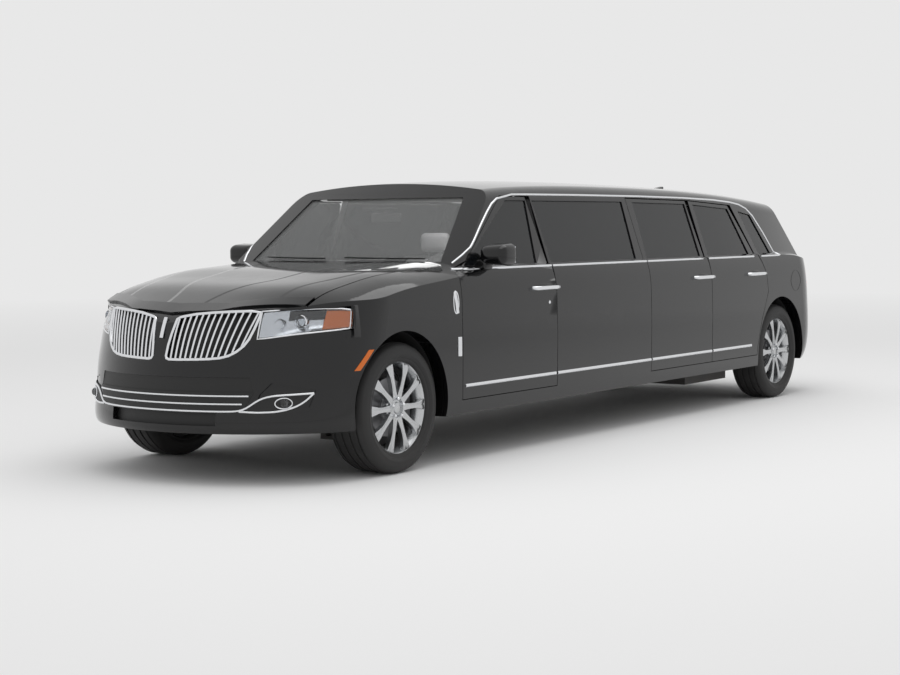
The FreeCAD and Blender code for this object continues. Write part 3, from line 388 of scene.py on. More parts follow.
def ring_of(count, place):
    """Points at even angles, each given by a function of the angle."""
    return [place(angle) for angle in np.linspace(0, 2 * math.pi, count, endpoint=False)]


chrome = finish("chrome", (0.80, 0.81, 0.83), 0.07, 1.0, skin=(300.0, 0.00003, 0.0015), dust=(0.5, 0.08))


def bright(name, points, radius, *replaced, body="body", closed=False, sides=3):
    """A chromed moulding on its body."""
    return settle(moulding(name, points, radius, closed, sides), body, "chrome", chrome, *replaced)


BELT_Z, BELT_WIDE, BELT_SUNK = 1.138, 0.0085, -0.0025
STRIP_Z, STRIP_WIDE, STRIP_SUNK = 0.452, 0.0125, -0.0065
SEAM = {"front": (0.900, 1.945), "middle": (-1.352, -0.404), "rear": (-2.165, -1.370)}
STRETCH_BELT = ((0.885, BELT_Z), (-0.390, BELT_Z))
STRIP = {"front": (0.905, 1.948), "stretch": (-0.388, 0.885), "middle": (-1.350, -0.408),
         "rear": (-2.050, -1.372)}
TOP_LINE = ((1.928, 1.125), (1.80, 1.218), (1.665, 1.312), (1.55, 1.398), (1.44, 1.476), (1.36, 1.528),
            (1.28, 1.562), (1.19, 1.582), (1.08, 1.590), (0.9, 1.592), (0.3, 1.594), (-0.6, 1.593),
            (-1.3, 1.587), (-1.8, 1.576), (-2.1, 1.560), (-2.25, 1.543), (-2.36, 1.512), (-2.45, 1.455),
            (-2.56, 1.320), (-2.66, 1.165), (-2.664, 1.142), (-2.64, 1.138), (-2.30, 1.138))
SURROUND_WIDE, SURROUND_SUNK = 0.0075, -0.001
SHIELD, SHIELD_WIDE = ((2.030, 0.885), (2.040, 0.95), (2.053, 1.010)), 0.0125
SHIELD_MIDDLE, SHIELD_REACH, SHIELD_RIM, SHIELD_PROUD = (2.041, 0.948), (0.026, 0.066), 0.004, 0.001
VENT, VENT_WIDE, VENT_SUNK, FINE_STEP = ((2.012, 0.632), (2.012, 0.745)), 0.0165, -0.002, 0.03
for side, g in SIDES.items():
    bright(f"window_surround_{side}", along(TOP_LINE, g, SURROUND_SUNK), SURROUND_WIDE)
    bright(f"belt_moulding_stretch_{side}", along(STRETCH_BELT, g, BELT_SUNK), BELT_WIDE)
    for row, (rear_end, front_end) in SEAM.items():
        bright(f"belt_moulding_{row}_{side}", along(((front_end, BELT_Z), (rear_end, BELT_Z)), g, BELT_SUNK),
               BELT_WIDE, body=f"{row}_door_{side}")
    for row, (rear_end, front_end) in STRIP.items():
        bright(f"side_strip_{row}_{side}", along(((front_end, STRIP_Z), (rear_end, STRIP_Z)), g, STRIP_SUNK),
               STRIP_WIDE, body="body" if row == "stretch" else f"{row}_door_{side}")
    bright(f"wing_ornament_{side}", along(SHIELD, g, 0.0, FINE_STEP), SHIELD_WIDE)
    loop = ring_of(24, lambda a: on_side(SHIELD_MIDDLE[0] + SHIELD_REACH[0] * math.cos(a),
                                         SHIELD_MIDDLE[1] + SHIELD_REACH[1] * math.sin(a), g, SHIELD_PROUD))
    bright(f"wing_ornament_ring_{side}", loop, SHIELD_RIM, closed=True)
    bright(f"wing_vent_bar_{side}", along(VENT, g, VENT_SUNK, FINE_STEP), VENT_WIDE)


# ---------------------------------------------------------------- door handles
# A bright pull bar over a dark oval cup on each of the six doors.
HANDLES = {"front": (1.035, 1.002, 0.28), "middle": (-1.215, 1.004, 0.27), "rear": (-2.135, 1.004, 0.26)}
HANDLE_ARC = [(-0.50, -0.004), (-0.49, 0.020), (-0.45, 0.032), (-0.30, 0.036), (0, 0.037), (0.30, 0.036),
              (0.45, 0.032), (0.49, 0.020), (0.50, -0.004)]
HANDLE_WIDE, HANDLE_TALL = 0.0105, 1.25
CUP_SHARE, CUP_DEEP, CUP_TALL, CUP_SUNK = 0.40, 0.008, 0.028, -0.0045
cup_black = finish("cup_black", (0.004, 0.004, 0.004), 0.25, skin=(400.0, 0.0001, 0.001))


def pebble(name, centre, reach, segments):
    """An oval body of the given half sizes."""
    bpy.ops.mesh.primitive_uv_sphere_add(segments=segments, ring_count=segments // 2, radius=1, location=centre)
    piece = named(name)
    piece.scale = reach
    bpy.ops.object.shade_smooth()
    return piece


for side, g in SIDES.items():
    for row, (x, z, reach) in HANDLES.items():
        body = f"{row}_door_{side}"
        size = (reach * CUP_SHARE, CUP_DEEP, CUP_TALL)
        cup = pebble(f"handle_cup_{row}_{side}", on_side(x, z, g, CUP_SUNK), size, 28)
        settle(cup, body, "trim", cup_black)
        base = on_side(x, z, g)
        points = [base + Vector((share * reach, out * g, 0)) for share, out in HANDLE_ARC]
        bar = moulding(f"handle_{row}_{side}", points, HANDLE_WIDE)
        for vert in bar.data.vertices:
            vert.co.z = z + (vert.co.z - z) * HANDLE_TALL
        settle(bar, body, "chrome", chrome)


# ---------------------------------------------------------------- nose surface and hood lip
# The painted nose above the grille, carried up to the hood with a thin shut line.
NOSE_REACH, NOSE_LOW, NOSE_TOP, NOSE_REAR, NOSE_SAMPLES = 0.90, 0.30, 0.935, 2.98, 60
AHEAD_OF_CAR, ABOVE_HOOD = 4.5, 1.6
FIT_ROUNDS, FIT_SLACK, FIT_SHARE = 12, 0.004, 0.9
FIT_MIDDLE, FIT_TERMS = 0.6, 5
LIP_GAP, LIP_FRONT, LIP_DEEP, LIP_LONGEST, LIP_SPAN = 0.004, 0.006, 0.012, 0.12, (-0.775, 0.775, 85)
CROWN_SEARCH, CROWN_LOW = (3.05, 3.46, 0.002), 0.90


def terms(y, z):
    """Even powers of y with powers of z, for a smooth surface x(y, z)."""
    y2, z1 = np.asarray(y) ** 2, np.asarray(z) - FIT_MIDDLE
    return np.stack([y2 ** i * z1 ** j for i in range(FIT_TERMS) for j in range(FIT_TERMS)], axis=-1)


# The surface is fitted to the panels, and holes in them drop out of the fit round by round.
bumper_tree, hood_tree = tree_of("front_bumper", "front_fenders"), tree_of("hood")
spots = []
for y in np.linspace(0, NOSE_REACH, NOSE_SAMPLES):
    for z in np.linspace(NOSE_LOW, NOSE_TOP, NOSE_SAMPLES):
        hit = bumper_tree.ray_cast(Vector((AHEAD_OF_CAR, y, z)), Vector((-1, 0, 0)))[0]
        if hit and hit.x > NOSE_REAR:
            spots.append((y, z, hit.x))
spots = np.array(spots)
for _ in range(FIT_ROUNDS):
    form = np.linalg.lstsq(terms(spots[:, 0], spots[:, 1]), spots[:, 2], rcond=None)[0]
    error = spots[:, 2] - terms(spots[:, 0], spots[:, 1]) @ form
    spots = spots[(error > -max(FIT_SLACK, np.quantile(np.abs(error), FIT_SHARE)))]


def on_nose(y, z, proud=0.0):
    """The point of the nose at y and z, moved ahead by a little."""
    return Vector((float(terms(abs(y), z) @ form) + proud, y, z))


def sheet_patch(name, rows, thickness, turned=False):
    """A panel through rows of points, thickened inwards; turned when the rows run the other way."""
    rows = [row[::-1] for row in rows] if turned else rows
    bpy.ops.mesh.primitive_grid_add(x_subdivisions=len(rows[0]) - 1, y_subdivisions=len(rows) - 1, size=1)
    panel = named(name)
    grid = panel.data.vertices
    order = sorted(range(len(grid)), key=lambda i: (round(grid[i].co.y, 5), round(grid[i].co.x, 5)))
    for index, point in zip(order, [point for row in rows for point in row]):
        grid[index].co = point
    wall = panel.modifiers.new("wall", "SOLIDIFY")
    wall.thickness, wall.offset = thickness, -1.0
    bpy.ops.object.modifier_apply(modifier="wall")
    bpy.ops.object.mode_set(mode="EDIT")
    bpy.ops.mesh.select_all(action="SELECT")
    bpy.ops.mesh.normals_make_consistent(inside=False)
    bpy.ops.object.mode_set(mode="OBJECT")
    bpy.ops.object.shade_smooth_by_angle(angle=PATCH_ANGLE)
    return panel


def crown_edge(tree, y, ahead):
    """The hood's front edge, or the nose's top edge behind the shut line, at one y."""
    found = None
    for x in np.arange(*CROWN_SEARCH):
        hit = tree.ray_cast(Vector((x, y, ABOVE_HOOD)), Vector((0, 0, -1)))[0]
        if hit and hit.z > CROWN_LOW:
            found = hit
            if not ahead:
                return found
    return found


lip_rows = [[], []]
for y in np.linspace(*LIP_SPAN):
    rear, front = crown_edge(hood_tree, y, True), crown_edge(bumper_tree, y, False)
    if rear and front and (front - rear).length < LIP_LONGEST:
        away = (front - rear).normalized()
        lip_rows[0].append(rear + away * LIP_GAP)
        lip_rows[1].append(front + away * LIP_FRONT)
settle(sheet_patch("nose_lip", lip_rows, LIP_DEEP), "body", "paint", paint)


# ---------------------------------------------------------------- grille
# Two chromed halves that flow out towards the lamps: a round rim, upright bars that lean outwards, and
# a black mesh behind them. A slim plain upright sits between the halves.
RIM = [(0.077, 0.880), (0.080, 0.898), (0.100, 0.908), (0.130, 0.914), (0.200, 0.926), (0.300, 0.935),
       (0.400, 0.941), (0.500, 0.944), (0.545, 0.938), (0.546, 0.915), (0.532, 0.850), (0.515, 0.795),
       (0.495, 0.760), (0.462, 0.728), (0.425, 0.706), (0.380, 0.694), (0.320, 0.688), (0.250, 0.685),
       (0.150, 0.682), (0.075, 0.681), (0.056, 0.686), (0.050, 0.700), (0.056, 0.760), (0.066, 0.820)]
BARS, BAR_RADIUS, RIM_RADIUS, BAR_LEAN = 13, 0.0068, 0.0085, 0.07425
FIRST_FOOT, FEET_SPAN, LEAST_LEAN, FIRST_SHARE, SPARE_SHARE = 0.052, 0.42, 0.012, 0.85, 0.35
RIM_PROUD, BAR_PROUD, MAST_PROUD, MESH_THICK = 0.001, -0.004, 0.006, 0.004
BAR_FOOT_Z, BAR_TALL, BAR_STEPS, BAR_KNOTS, SHORTEST = 0.675, 0.28, 60, 6, 4
MESH_SUNK, MESH_SPAN, MESH_LEVELS = -0.034, (0.045, 0.552, 14), (0.675, 0.76, 0.85, 0.948)
MAST_SPAN, MAST_RADIUS, MAST_WIDER = (0.795, 0.905, 6), 0.010, 1.3
grille_black = finish("grille_black", (0.006, 0.006, 0.006), 0.5, skin=(500.0, 0.0003, 0.001))


def bar_line(share):
    """Points (y, z) inside the grille opening along a bar that starts at a share of its width."""
    foot = FIRST_FOOT + share * FEET_SPAN
    head = foot + LEAST_LEAN + share * BAR_LEAN
    inside = []
    for step in np.linspace(0, 1, BAR_STEPS):
        y, z = foot + (head - foot) * step, BAR_FOOT_Z + BAR_TALL * step
        crossings = sum((z0 > z) != (z1 > z) and y < y0 + (z - z0) / (z1 - z0) * (y1 - y0)
                        for (y0, z0), (y1, z1) in zip(RIM, RIM[1:] + RIM[:1]))
        if crossings % 2:
            inside.append((y, z))
    return inside


def joined(name, pieces):
    """Several objects made one."""
    bpy.ops.object.select_all(action="DESELECT")
    for piece in pieces:
        piece.select_set(True)
    bpy.context.view_layer.objects.active = pieces[0]
    bpy.ops.object.join()
    return named(name)


for side, g in SIDES.items():
    bright(f"grille_rim_{side}", [on_nose(y * g, z, RIM_PROUD) for y, z in RIM], RIM_RADIUS, "grille",
           closed=True)
    rods = []
    for index in range(BARS):
        inside = bar_line((index + FIRST_SHARE) / (BARS + SPARE_SHARE))
        if len(inside) >= SHORTEST:
            picks = [inside[round(i * (len(inside) - 1) / (BAR_KNOTS - 1))] for i in range(BAR_KNOTS)]
            rods.append(moulding("rod", [on_nose(y * g, z, BAR_PROUD) for y, z in picks], BAR_RADIUS, sides=2))
    settle(joined(f"grille_bars_{side}", rods), "body", "chrome", chrome, "grille")
    rows = [[on_nose(y * g, z, MESH_SUNK) for y in np.linspace(*MESH_SPAN)] for z in MESH_LEVELS]
    settle(sheet_patch(f"grille_mesh_{side}", rows, MESH_THICK, g < 0), "body", "plastic", grille_black)
mast = moulding("nose_upright", [on_nose(0, z, MAST_PROUD) for z in np.linspace(*MAST_SPAN)], MAST_RADIUS)
for vert in mast.data.vertices:
    vert.co.y *= MAST_WIDER
settle(mast, "body", "chrome", chrome)


# ---------------------------------------------------------------- lower front
# Black inserts close the mouth, the intake and the fog lamp pockets. Two thin bright bars cross the
# mouth, and a strip under it sweeps up and round each fog lamp.
INSERTS = (("mouth_insert", 0.575, 0.499, 0.596, 0.0025), ("intake_insert", 0.405, 0.322, 0.408, 0.03))
BAND_LEVELS, BAND_REACH, BAND_FOOT = (0.418, 0.44, 0.47, 0.50, 0.512), 0.52, 0.42
MOUTH_BARS, MOUTH_BAR_RADIUS, STRIP_RADIUS = ((0.545, 0.492), (0.515, 0.449)), 0.0055, 0.0062
SWEEP = [(0.0, 0.409), (0.25, 0.409), (0.42, 0.409), (0.50, 0.411), (0.53, 0.422), (0.56, 0.448), (0.60, 0.480),
         (0.65, 0.493), (0.72, 0.497), (0.815, 0.503)]
UNDER = [(0.50, 0.409), (0.58, 0.404), (0.66, 0.406), (0.71, 0.415), (0.76, 0.437), (0.79, 0.465),
         (0.815, 0.503)]
POCKET_SPAN, CLOSER_SPAN, CLOSER_LEVELS = (0.52, 0.812, 16), (0.555, 0.83, 12), (0.395, 0.565, 8)
FOG_Y, FOG_Z, FOG_SIZE, BEZEL_REACH, BEZEL_RADIUS = 0.70, 0.452, (0.012, 0.033, 0.026), (0.036, 0.028), 0.004
INSERT_THICK, BAND_PROUD, MOUTH_BAR_PROUD, STRIP_PROUD, FOG_PROUD = 0.006, 0.0035, 0.008, 0.004, 0.004
POCKET_PROUD, POCKET_THICK, CLOSER_PROUD, CLOSER_THICK = 0.0015, 0.02, -0.012, 0.012
for name, reach, low, high, deep in INSERTS:
    rows = [[on_nose(y, z, -deep) for y in np.linspace(-reach, reach, 31)] for z in np.linspace(low, high, 5)]
    settle(sheet_patch(name, rows, INSERT_THICK), "body", "plastic", grille_black)
rows = []
for z in BAND_LEVELS:
    reach = BAND_REACH + (z - BAND_FOOT) / 2
    rows.append([on_nose(y, z, BAND_PROUD) for y in np.linspace(-reach, reach, 41)])
settle(sheet_patch("mouth_band", rows, INSERT_THICK), "body", "plastic", grille_black)
for index, (reach, z) in enumerate(MOUTH_BARS):
    line = [on_nose(y, z, MOUTH_BAR_PROUD) for y in np.linspace(-reach, reach, 41)]
    bright(f"mouth_bar_{index + 1}", line, MOUTH_BAR_RADIUS)


def eased(points, count):
    """Points filled in along a smooth line through a few corners."""
    points = np.array(points)
    run = np.concatenate([[0], np.cumsum(np.hypot(*np.diff(points, axis=0).T))])
    at = np.linspace(0, run[-1], count)
    line = np.stack([np.interp(at, run, points[:, i]) for i in (0, 1)], axis=1)
    for _ in range(3):
        line[1:-1] = (line[:-2] + line[1:-1] * 2 + line[2:]) / 4
    return line


def level(points, at):
    """The height of a line of (y, z) points at given y."""
    return np.interp(at, *np.array(points).T)


fog_glass = finish("lamp_clear", (0.9, 0.92, 0.94), 0.02, skin=(200.0, 0.0, 0.001), IOR=1.5,
                   Transmission_Weight=1.0)
sweep = eased([(-y, z) for y, z in SWEEP[::-1]] + SWEEP[1:], 90)
bright("lower_strip", [on_nose(y, z, STRIP_PROUD) for y, z in sweep], STRIP_RADIUS)
for side, g in SIDES.items():
    bright(f"fog_strip_{side}", [on_nose(y * g, z, STRIP_PROUD) for y, z in eased(UNDER, 24)], STRIP_RADIUS)
    at = np.linspace(*POCKET_SPAN)
    low, high = level(UNDER, at), level([spot for spot in SWEEP if spot[0] >= UNDER[0][0]], at)
    rows = [[on_nose(y * g, lo + (hi - lo) * share, POCKET_PROUD) for y, lo, hi in zip(at, low, high)]
            for share in np.linspace(0, 1, 7)]
    settle(sheet_patch(f"fog_pocket_{side}", rows, POCKET_THICK, g < 0), "body", "plastic", grille_black)
    rows = [[on_nose(y * g, z, CLOSER_PROUD) for y in np.linspace(*CLOSER_SPAN)]
            for z in np.linspace(*CLOSER_LEVELS)]
    settle(sheet_patch(f"fog_closer_{side}", rows, CLOSER_THICK, g < 0), "body", "paint", paint)
    bulb = pebble(f"fog_lamp_{side}", on_nose(FOG_Y * g, FOG_Z, FOG_PROUD), FOG_SIZE, 32)
    settle(bulb, "body", "lamp_glass", fog_glass)
    bezel = ring_of(28, lambda a: on_nose((FOG_Y + BEZEL_REACH[0] * math.cos(a)) * g,
                                          FOG_Z + BEZEL_REACH[1] * math.sin(a), FOG_PROUD))
    bright(f"fog_bezel_{side}", bezel, BEZEL_RADIUS, closed=True)


# ---------------------------------------------------------------- headlamps
# A clear cover over a satin reflector housing: a projector with a bright ring, an open reflector
# beside the grille, and an amber marker at the outer end. A chromed frame runs round the cover.
LAMP_IN, LAMP_OUT = 0.553, 0.905
LAMP_TOP = [(0.55, 0.943), (0.70, 0.952), (0.80, 0.954), (0.87, 0.952), (0.91, 0.944)]
LAMP_LOW = [(0.53, 0.792), (0.60, 0.800), (0.70, 0.816), (0.80, 0.829), (0.87, 0.838), (0.91, 0.846)]
LAMP_UNITS = (("projector", 0.715, 0.884, 0.038, 0.034), ("high_beam", 0.625, 0.872, 0.030, 0.036))
LAMP_LOOK = (1.0, 0.18)
UNIT_RING = ((0.80, -0.015), (0.82, 0.010), (0.9, 0.017), (1.0, 0.014), (1.05, 0.0), (1.02, -0.015))
UNIT_BOWL = ((0.0, -0.020), (0.3, -0.018), (0.6, -0.010), (0.8, 0.004), (0.8, 0.001), (0.6, -0.014),
             (0.0, -0.024))
UNIT_LENS = ((0.0, 0.018), (0.35, 0.015), (0.6, 0.008), (0.74, -0.003), (0.6, -0.006), (0.0, -0.008))
WING_Z, WING_REAR, WING_MIDDLE, WING_FRONT, WING_THICK = (0.795, 0.970, 8), 2.928, 2.985, (0.912, 0.962), 0.01
WING_REAR_SHARE, WING_FRONT_SHARE = 0.55, 0.45
WING_SWELL, WING_SUNK = (0.001, 0.006, 0.004), (-0.0006, -0.001)
MARKER_X, MARKER_Z, MARKER_LEAN, MARKER_MIDDLE = (2.900, 2.912, 2.926, 2.938), (0.612, 0.722, 9), -0.95, 0.667
MARKER_PROUD, MARKER_THICK, LAMP_RIM, BOWL_POWER, SPREAD_POWER = 0.003, 0.006, 0.0045, 0.6, 0.9
reflector = finish("reflector", (0.62, 0.63, 0.65), 0.16, 0.95, skin=(120.0, 0.0006, 0.001))
amber = finish("amber", (0.50, 0.10, 0.006), 0.18, skin=(260.0, 0.0012, 0.001), Emission_Strength=0.12,
               Emission_Color=(0.9, 0.25, 0.02, 1))
lamp_dark = finish("lamp_dark", (0.02, 0.021, 0.023), 0.3, 0.3)


def lamp_rows(g, start, end, edge_deep, middle_deep, across=20, down=9, inset=0.0):
    """Rows of points over part of the lamp, as deep behind the nose as a shallow bowl."""
    rows = []
    for v in np.linspace(inset, 1 - inset, down):
        row = []
        for u in np.linspace(start, end, across):
            outward = math.sin(u * math.pi / 2) ** SPREAD_POWER if u > 0 else 0.0
            y = LAMP_IN + (LAMP_OUT - LAMP_IN) * outward
            low, high = level(LAMP_LOW, y), level(LAMP_TOP, y)
            bowl = (math.sin(math.pi * v) * math.sin(math.pi * u)) if 0 < v < 1 and 0 < u < 1 else 0.0
            deep = edge_deep + (middle_deep - edge_deep) * bowl ** BOWL_POWER
            row.append(on_nose(y * g, low + (high - low) * v, -deep))
        rows.append(row if g > 0 else row[::-1])
    return rows


def lathe(name, profile, centre, axis, steps=40, angle=40):
    """A turned piece: a profile of (radius, distance along the axis), spun round an axis."""
    centre, axis = Vector(centre), Vector(axis).normalized()
    side_way = axis.cross(Vector((0, 0, 1))).normalized()
    piece = chain(name, [centre + side_way * r + axis * h for r, h in profile])
    bpy.ops.mesh.spin(steps=steps, angle=2 * math.pi, center=centre, axis=axis)
    welded_out(SPIN_MERGE)
    bpy.ops.object.shade_smooth_by_angle(angle=math.radians(angle))
    return piece


for side, g in SIDES.items():
    for label, rows, thickness, slot, material, replaced in (
            ("housing", lamp_rows(g, 0.0, 1.0, 0.012, 0.062), 0.003, "chrome", reflector, ["headlamps"]),
            ("marker", lamp_rows(g, 0.50, 0.985, 0.006, 0.012, 12, inset=0.10), 0.004, "lamp_glass", amber, []),
            ("shelf", lamp_rows(g, 0.18, 0.66, 0.016, 0.030, 14, 6, 0.06)[3:], 0.003, "trim", lamp_dark, []),
            ("cover", lamp_rows(g, 0.0, 1.0, 0.0, -0.002), 0.003, "lamp_glass", fog_glass, ["headlamps"])):
        settle(sheet_patch(f"headlamp_{label}_{side}", rows, thickness), "body", slot, material, *replaced)
    look = (LAMP_LOOK[0], LAMP_LOOK[1] * g, 0.0)
    for label, y, z, size, sunk in LAMP_UNITS:
        for part, profile, slot, material in (
                ("ring", UNIT_RING, "chrome", chrome),
                ("bowl", UNIT_BOWL, "chrome", reflector if label == "high_beam" else lamp_dark),
                ("lens", UNIT_LENS, "lamp_glass", fog_glass)):
            if part != "lens" or label == "projector":
                profile = [(size * r, h) for r, h in profile]
                piece = lathe(f"{label}_{part}_{side}", profile, on_nose(y * g, z, -sunk), look)
                settle(piece, "body", slot, material)
    rows = lamp_rows(g, 0.0, 1.0, -0.002, -0.002)
    inner = rows[1:-1]
    edge = rows[0] + [row[-1] for row in inner] + rows[-1][::-1] + [row[0] for row in inner[::-1]]
    bright(f"headlamp_rim_{side}", edge, LAMP_RIM, closed=True)
    # The wing closes behind the lamp's outer end.
    rows = []
    for z in np.linspace(*WING_Z):
        rear = on_side(WING_REAR, z, g, WING_SUNK[0])
        front = on_nose(WING_FRONT[0] * g, min(z, WING_FRONT[1]), WING_SUNK[1])
        swell = [Vector((0, out * g, 0)) for out in WING_SWELL]
        width = abs(rear.y) * WING_REAR_SHARE + abs(front.y) * WING_FRONT_SHARE
        middle = Vector((WING_MIDDLE, width * g, z)) + swell[1]
        rows.append([rear, rear.lerp(middle, 0.5) + swell[0], middle,
                     middle.lerp(front, 0.5) + swell[2], front])
    settle(sheet_patch(f"wing_closer_{side}", rows, WING_THICK, g > 0), "body", "paint", paint)
    # Amber side marker ahead of the wheel arch.
    rows = [[on_side(x + (z - MARKER_MIDDLE) * MARKER_LEAN, z, g, MARKER_PROUD) for x in MARKER_X]
            for z in np.linspace(*MARKER_Z)]
    settle(sheet_patch(f"side_marker_{side}", rows, MARKER_THICK, g > 0), "body", "lamp_glass", amber)


# ---------------------------------------------------------------- door mirrors
# Gloss black heads on a short foot at the front of each front door, with a mirror glass behind. The
# front doors are welded copies of the solids, without the plain block that stands for the mirror.
MIRROR_LOW, MIRROR_HIGH, MIRROR_ROUND = Vector((1.545, 0.900, 1.148)), Vector((1.715, 1.085, 1.292)), 0.046
FOOT_LOW, FOOT_HIGH, FOOT_ROUND = Vector((1.610, 0.868, 1.130)), Vector((1.700, 0.945, 1.190)), 0.016
PANE_LOW, PANE_HIGH = MIRROR_LOW + Vector((-0.0015, 0.022, 0.020)), MIRROR_HIGH - Vector((0, 0.022, 0.022))
PANE_FRONT, NOSE_TAPER, INNER_TAPER, WELD = MIRROR_LOW.x + 0.004, 0.22, 0.10, 0.00002


def block(name, low, high, rounding, steps=4, side=1):
    """A block between two corners with rounded edges, on the given side of the car."""
    low, high = Vector(low), Vector(high)
    middle = (low + high) / 2
    bpy.ops.mesh.primitive_cube_add(size=1, location=(middle.x, middle.y * side, middle.z), scale=high - low)
    piece = named(name)
    bpy.ops.object.transform_apply(location=True, scale=True)
    soft = piece.modifiers.new("edges", "BEVEL")
    soft.width, soft.segments, soft.limit_method = rounding, steps, "NONE"
    bpy.ops.object.modifier_apply(modifier="edges")
    bpy.ops.object.shade_smooth_by_angle(angle=PATCH_ANGLE)
    return piece


def copy_of(name, source):
    """An object with its own copy of a mesh."""
    piece = bpy.data.objects.new(name, source.data.copy())
    piece.data.name = name
    bpy.context.scene.collection.objects.link(piece)
    return piece


def welded(name, source, unwanted, capped):
    """A welded copy of a CAD node without the faces whose middle passes a test, capped if asked."""
    bpy.ops.object.select_all(action="DESELECT")
    piece = copy_of(name, nodes[source])
    piece.select_set(True)
    bpy.context.view_layer.objects.active = piece
    bpy.ops.object.mode_set(mode="EDIT")
    bpy.ops.mesh.select_all(action="SELECT")
    bpy.ops.mesh.remove_doubles(threshold=WELD)
    bpy.ops.mesh.select_all(action="DESELECT")
    bm = bmesh.from_edit_mesh(piece.data)
    for face in bm.faces:
        face.select_set(unwanted(face.calc_center_median()))
    bmesh.update_edit_mesh(piece.data)
    bpy.ops.mesh.delete(type="FACE")
    if capped:
        bpy.ops.mesh.select_mode(type="EDGE")
        bpy.ops.mesh.select_non_manifold(extend=False, use_wire=False, use_multi_face=False,
                                         use_non_contiguous=False, use_verts=False)
        bpy.ops.mesh.fill()
        bpy.ops.mesh.select_mode(type="VERT")
    bpy.ops.object.mode_set(mode="OBJECT")
    bpy.ops.object.shade_smooth_by_angle(angle=PANEL_ANGLE)
    return piece


mirror_glass = finish("mirror_glass", (0.75, 0.77, 0.80), 0.01, 1.0, skin=(100.0, 0.0, 0.001))
for side, g in SIDES.items():
    body = f"front_door_{side}"
    settle(welded(f"front_door_panel_{side}", body, is_mirror, True), body, "paint", paint, body)
    head = block(f"mirror_head_{side}", MIRROR_LOW, MIRROR_HIGH, MIRROR_ROUND, 7, g)
    middle, span = (MIRROR_LOW + MIRROR_HIGH) / 2, MIRROR_HIGH - MIRROR_LOW
    for vert in head.data.vertices:     # the nose of the shell tapers, and its inner end is lower
        ahead, inward = (vert.co.x - MIRROR_LOW.x) / span.x, (MIRROR_HIGH.y - abs(vert.co.y)) / span.y
        vert.co.z = middle.z + (vert.co.z - middle.z) * (1 - NOSE_TAPER * ahead ** 2 - INNER_TAPER * inward)
    bpy.ops.object.shade_smooth()
    settle(head, body, "paint", paint)
    settle(block(f"mirror_foot_{side}", FOOT_LOW, FOOT_HIGH, FOOT_ROUND, side=g), body, "plastic", cup_black)
    pane = block(f"mirror_glass_{side}", PANE_LOW, (PANE_FRONT, PANE_HIGH.y, PANE_HIGH.z), 0.0025, 2, g)
    settle(pane, body, "chrome", mirror_glass)


# ---------------------------------------------------------------- glass
# Clear laminated windscreen, whose pale grey base colour shows more at a low angle as a painted sheen over its
# real reflection, and dark privacy glass elsewhere.
WINDSCREEN_REAR, GLASS_BLEND = 1.0, 0.25


def glazing(name, tint, clear_share, rim_share):
    """Glass that lets light straight through, and at a low angle shows more of its real reflection and of its
    base colour; a pale base colour is a painted sheen.
    """
    material = finish(name, tint, 0.015, skin=(80.0, 0.0, 0.002), IOR=1.5)
    tree = material.node_tree
    angle = node(tree, "LayerWeight", {"Blend": GLASS_BLEND})
    share = node(tree, "MapRange", {"Value": angle.outputs["Fresnel"], "To Min": clear_share,
                                    "To Max": rim_share})
    tree.links.new(share.outputs["Result"], tree.nodes["Principled BSDF"].inputs["Alpha"])
    return material


# The windscreen's grey base colour is a painted sheen, which grows at a low angle along with its real
# reflection.
clear_glass_painted_sheen = glazing("clear_glass_painted_sheen", (0.50, 0.51, 0.51), 0.02, 0.30)
dark_glass = glazing("dark_glass", (0.006, 0.007, 0.008), 0.86, 1.0)
dress(dark_glass, "tailgate_glass", *[f"{row}_glass_{side}" for row in ROWS for side in SIDES])
for name, material, unwanted in (("windscreen", clear_glass_painted_sheen, lambda at: at.x <= WINDSCREEN_REAR),
                                 ("fixed_side_glass", dark_glass, lambda at: at.x > WINDSCREEN_REAR)):
    settle(welded(name, "fixed_glass", unwanted, False), "body", "glass", material, "fixed_glass")


# ---------------------------------------------------------------- wheels and tyres
# Cast alloy wheels with ten tapered spokes, five nuts and a bare cap, over a brake disc with its bell,
# caliper and backing plate. The tyres are low-profile road tyres with four grooves round the tread.
# Each shape is made once at the origin with its axle along Y, and copied to its place.
WHEEL_X = {row: (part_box(f"{row}_wheel_left")[0][0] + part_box(f"{row}_wheel_left")[1][0]) / 2
           for row in ("front", "rear")}
TYRE_LOW, TYRE_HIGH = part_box("front_tyre_left")
WHEEL_Z = TYRE_RADIUS = (TYRE_HIGH[2] - TYRE_LOW[2]) / 2
TYRE_MIDDLE, HALF_TYRE = (TYRE_LOW[1] + TYRE_HIGH[1]) / 2, (TYRE_HIGH[1] - TYRE_LOW[1]) / 2
FACE_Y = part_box("front_wheel_left")[1][1]
AXLE = (0, 1, 0)
GROOVES, GROOVE_TOP, GROOVE_FOOT, GROOVE_DEEP = (-0.078, -0.027, 0.027, 0.078), 0.0065, 0.0045, 0.0085
SHOULDER, SHOULDER_DROP, CROWN_DROP = 0.112, 0.012, 0.0015
WALL = ((0.256, 0.040), (0.262, 0.020), (0.272, 0.011), (0.281, 0.010), (0.283, 0.0075), (0.300, 0.001),
        (0.303, 0.0), (0.306, 0.0), (0.309, 0.001), (0.325, 0.0005), (0.340, 0.005), (0.352, 0.0115))
BARREL = ((0.226, -0.185), (0.262, -0.200), (0.270, -0.205), (0.277, -0.200), (0.272, -0.190), (0.262, -0.180),
          (0.236, -0.150), (0.232, -0.060), (0.246, -0.030), (0.263, -0.014), (0.272, -0.008), (0.2795, -0.001),
          (0.2800, 0.0), (0.2790, 0.001), (0.271, -0.001), (0.262, -0.006), (0.252, -0.020), (0.240, -0.034),
          (0.226, -0.060), (0.226, -0.185))
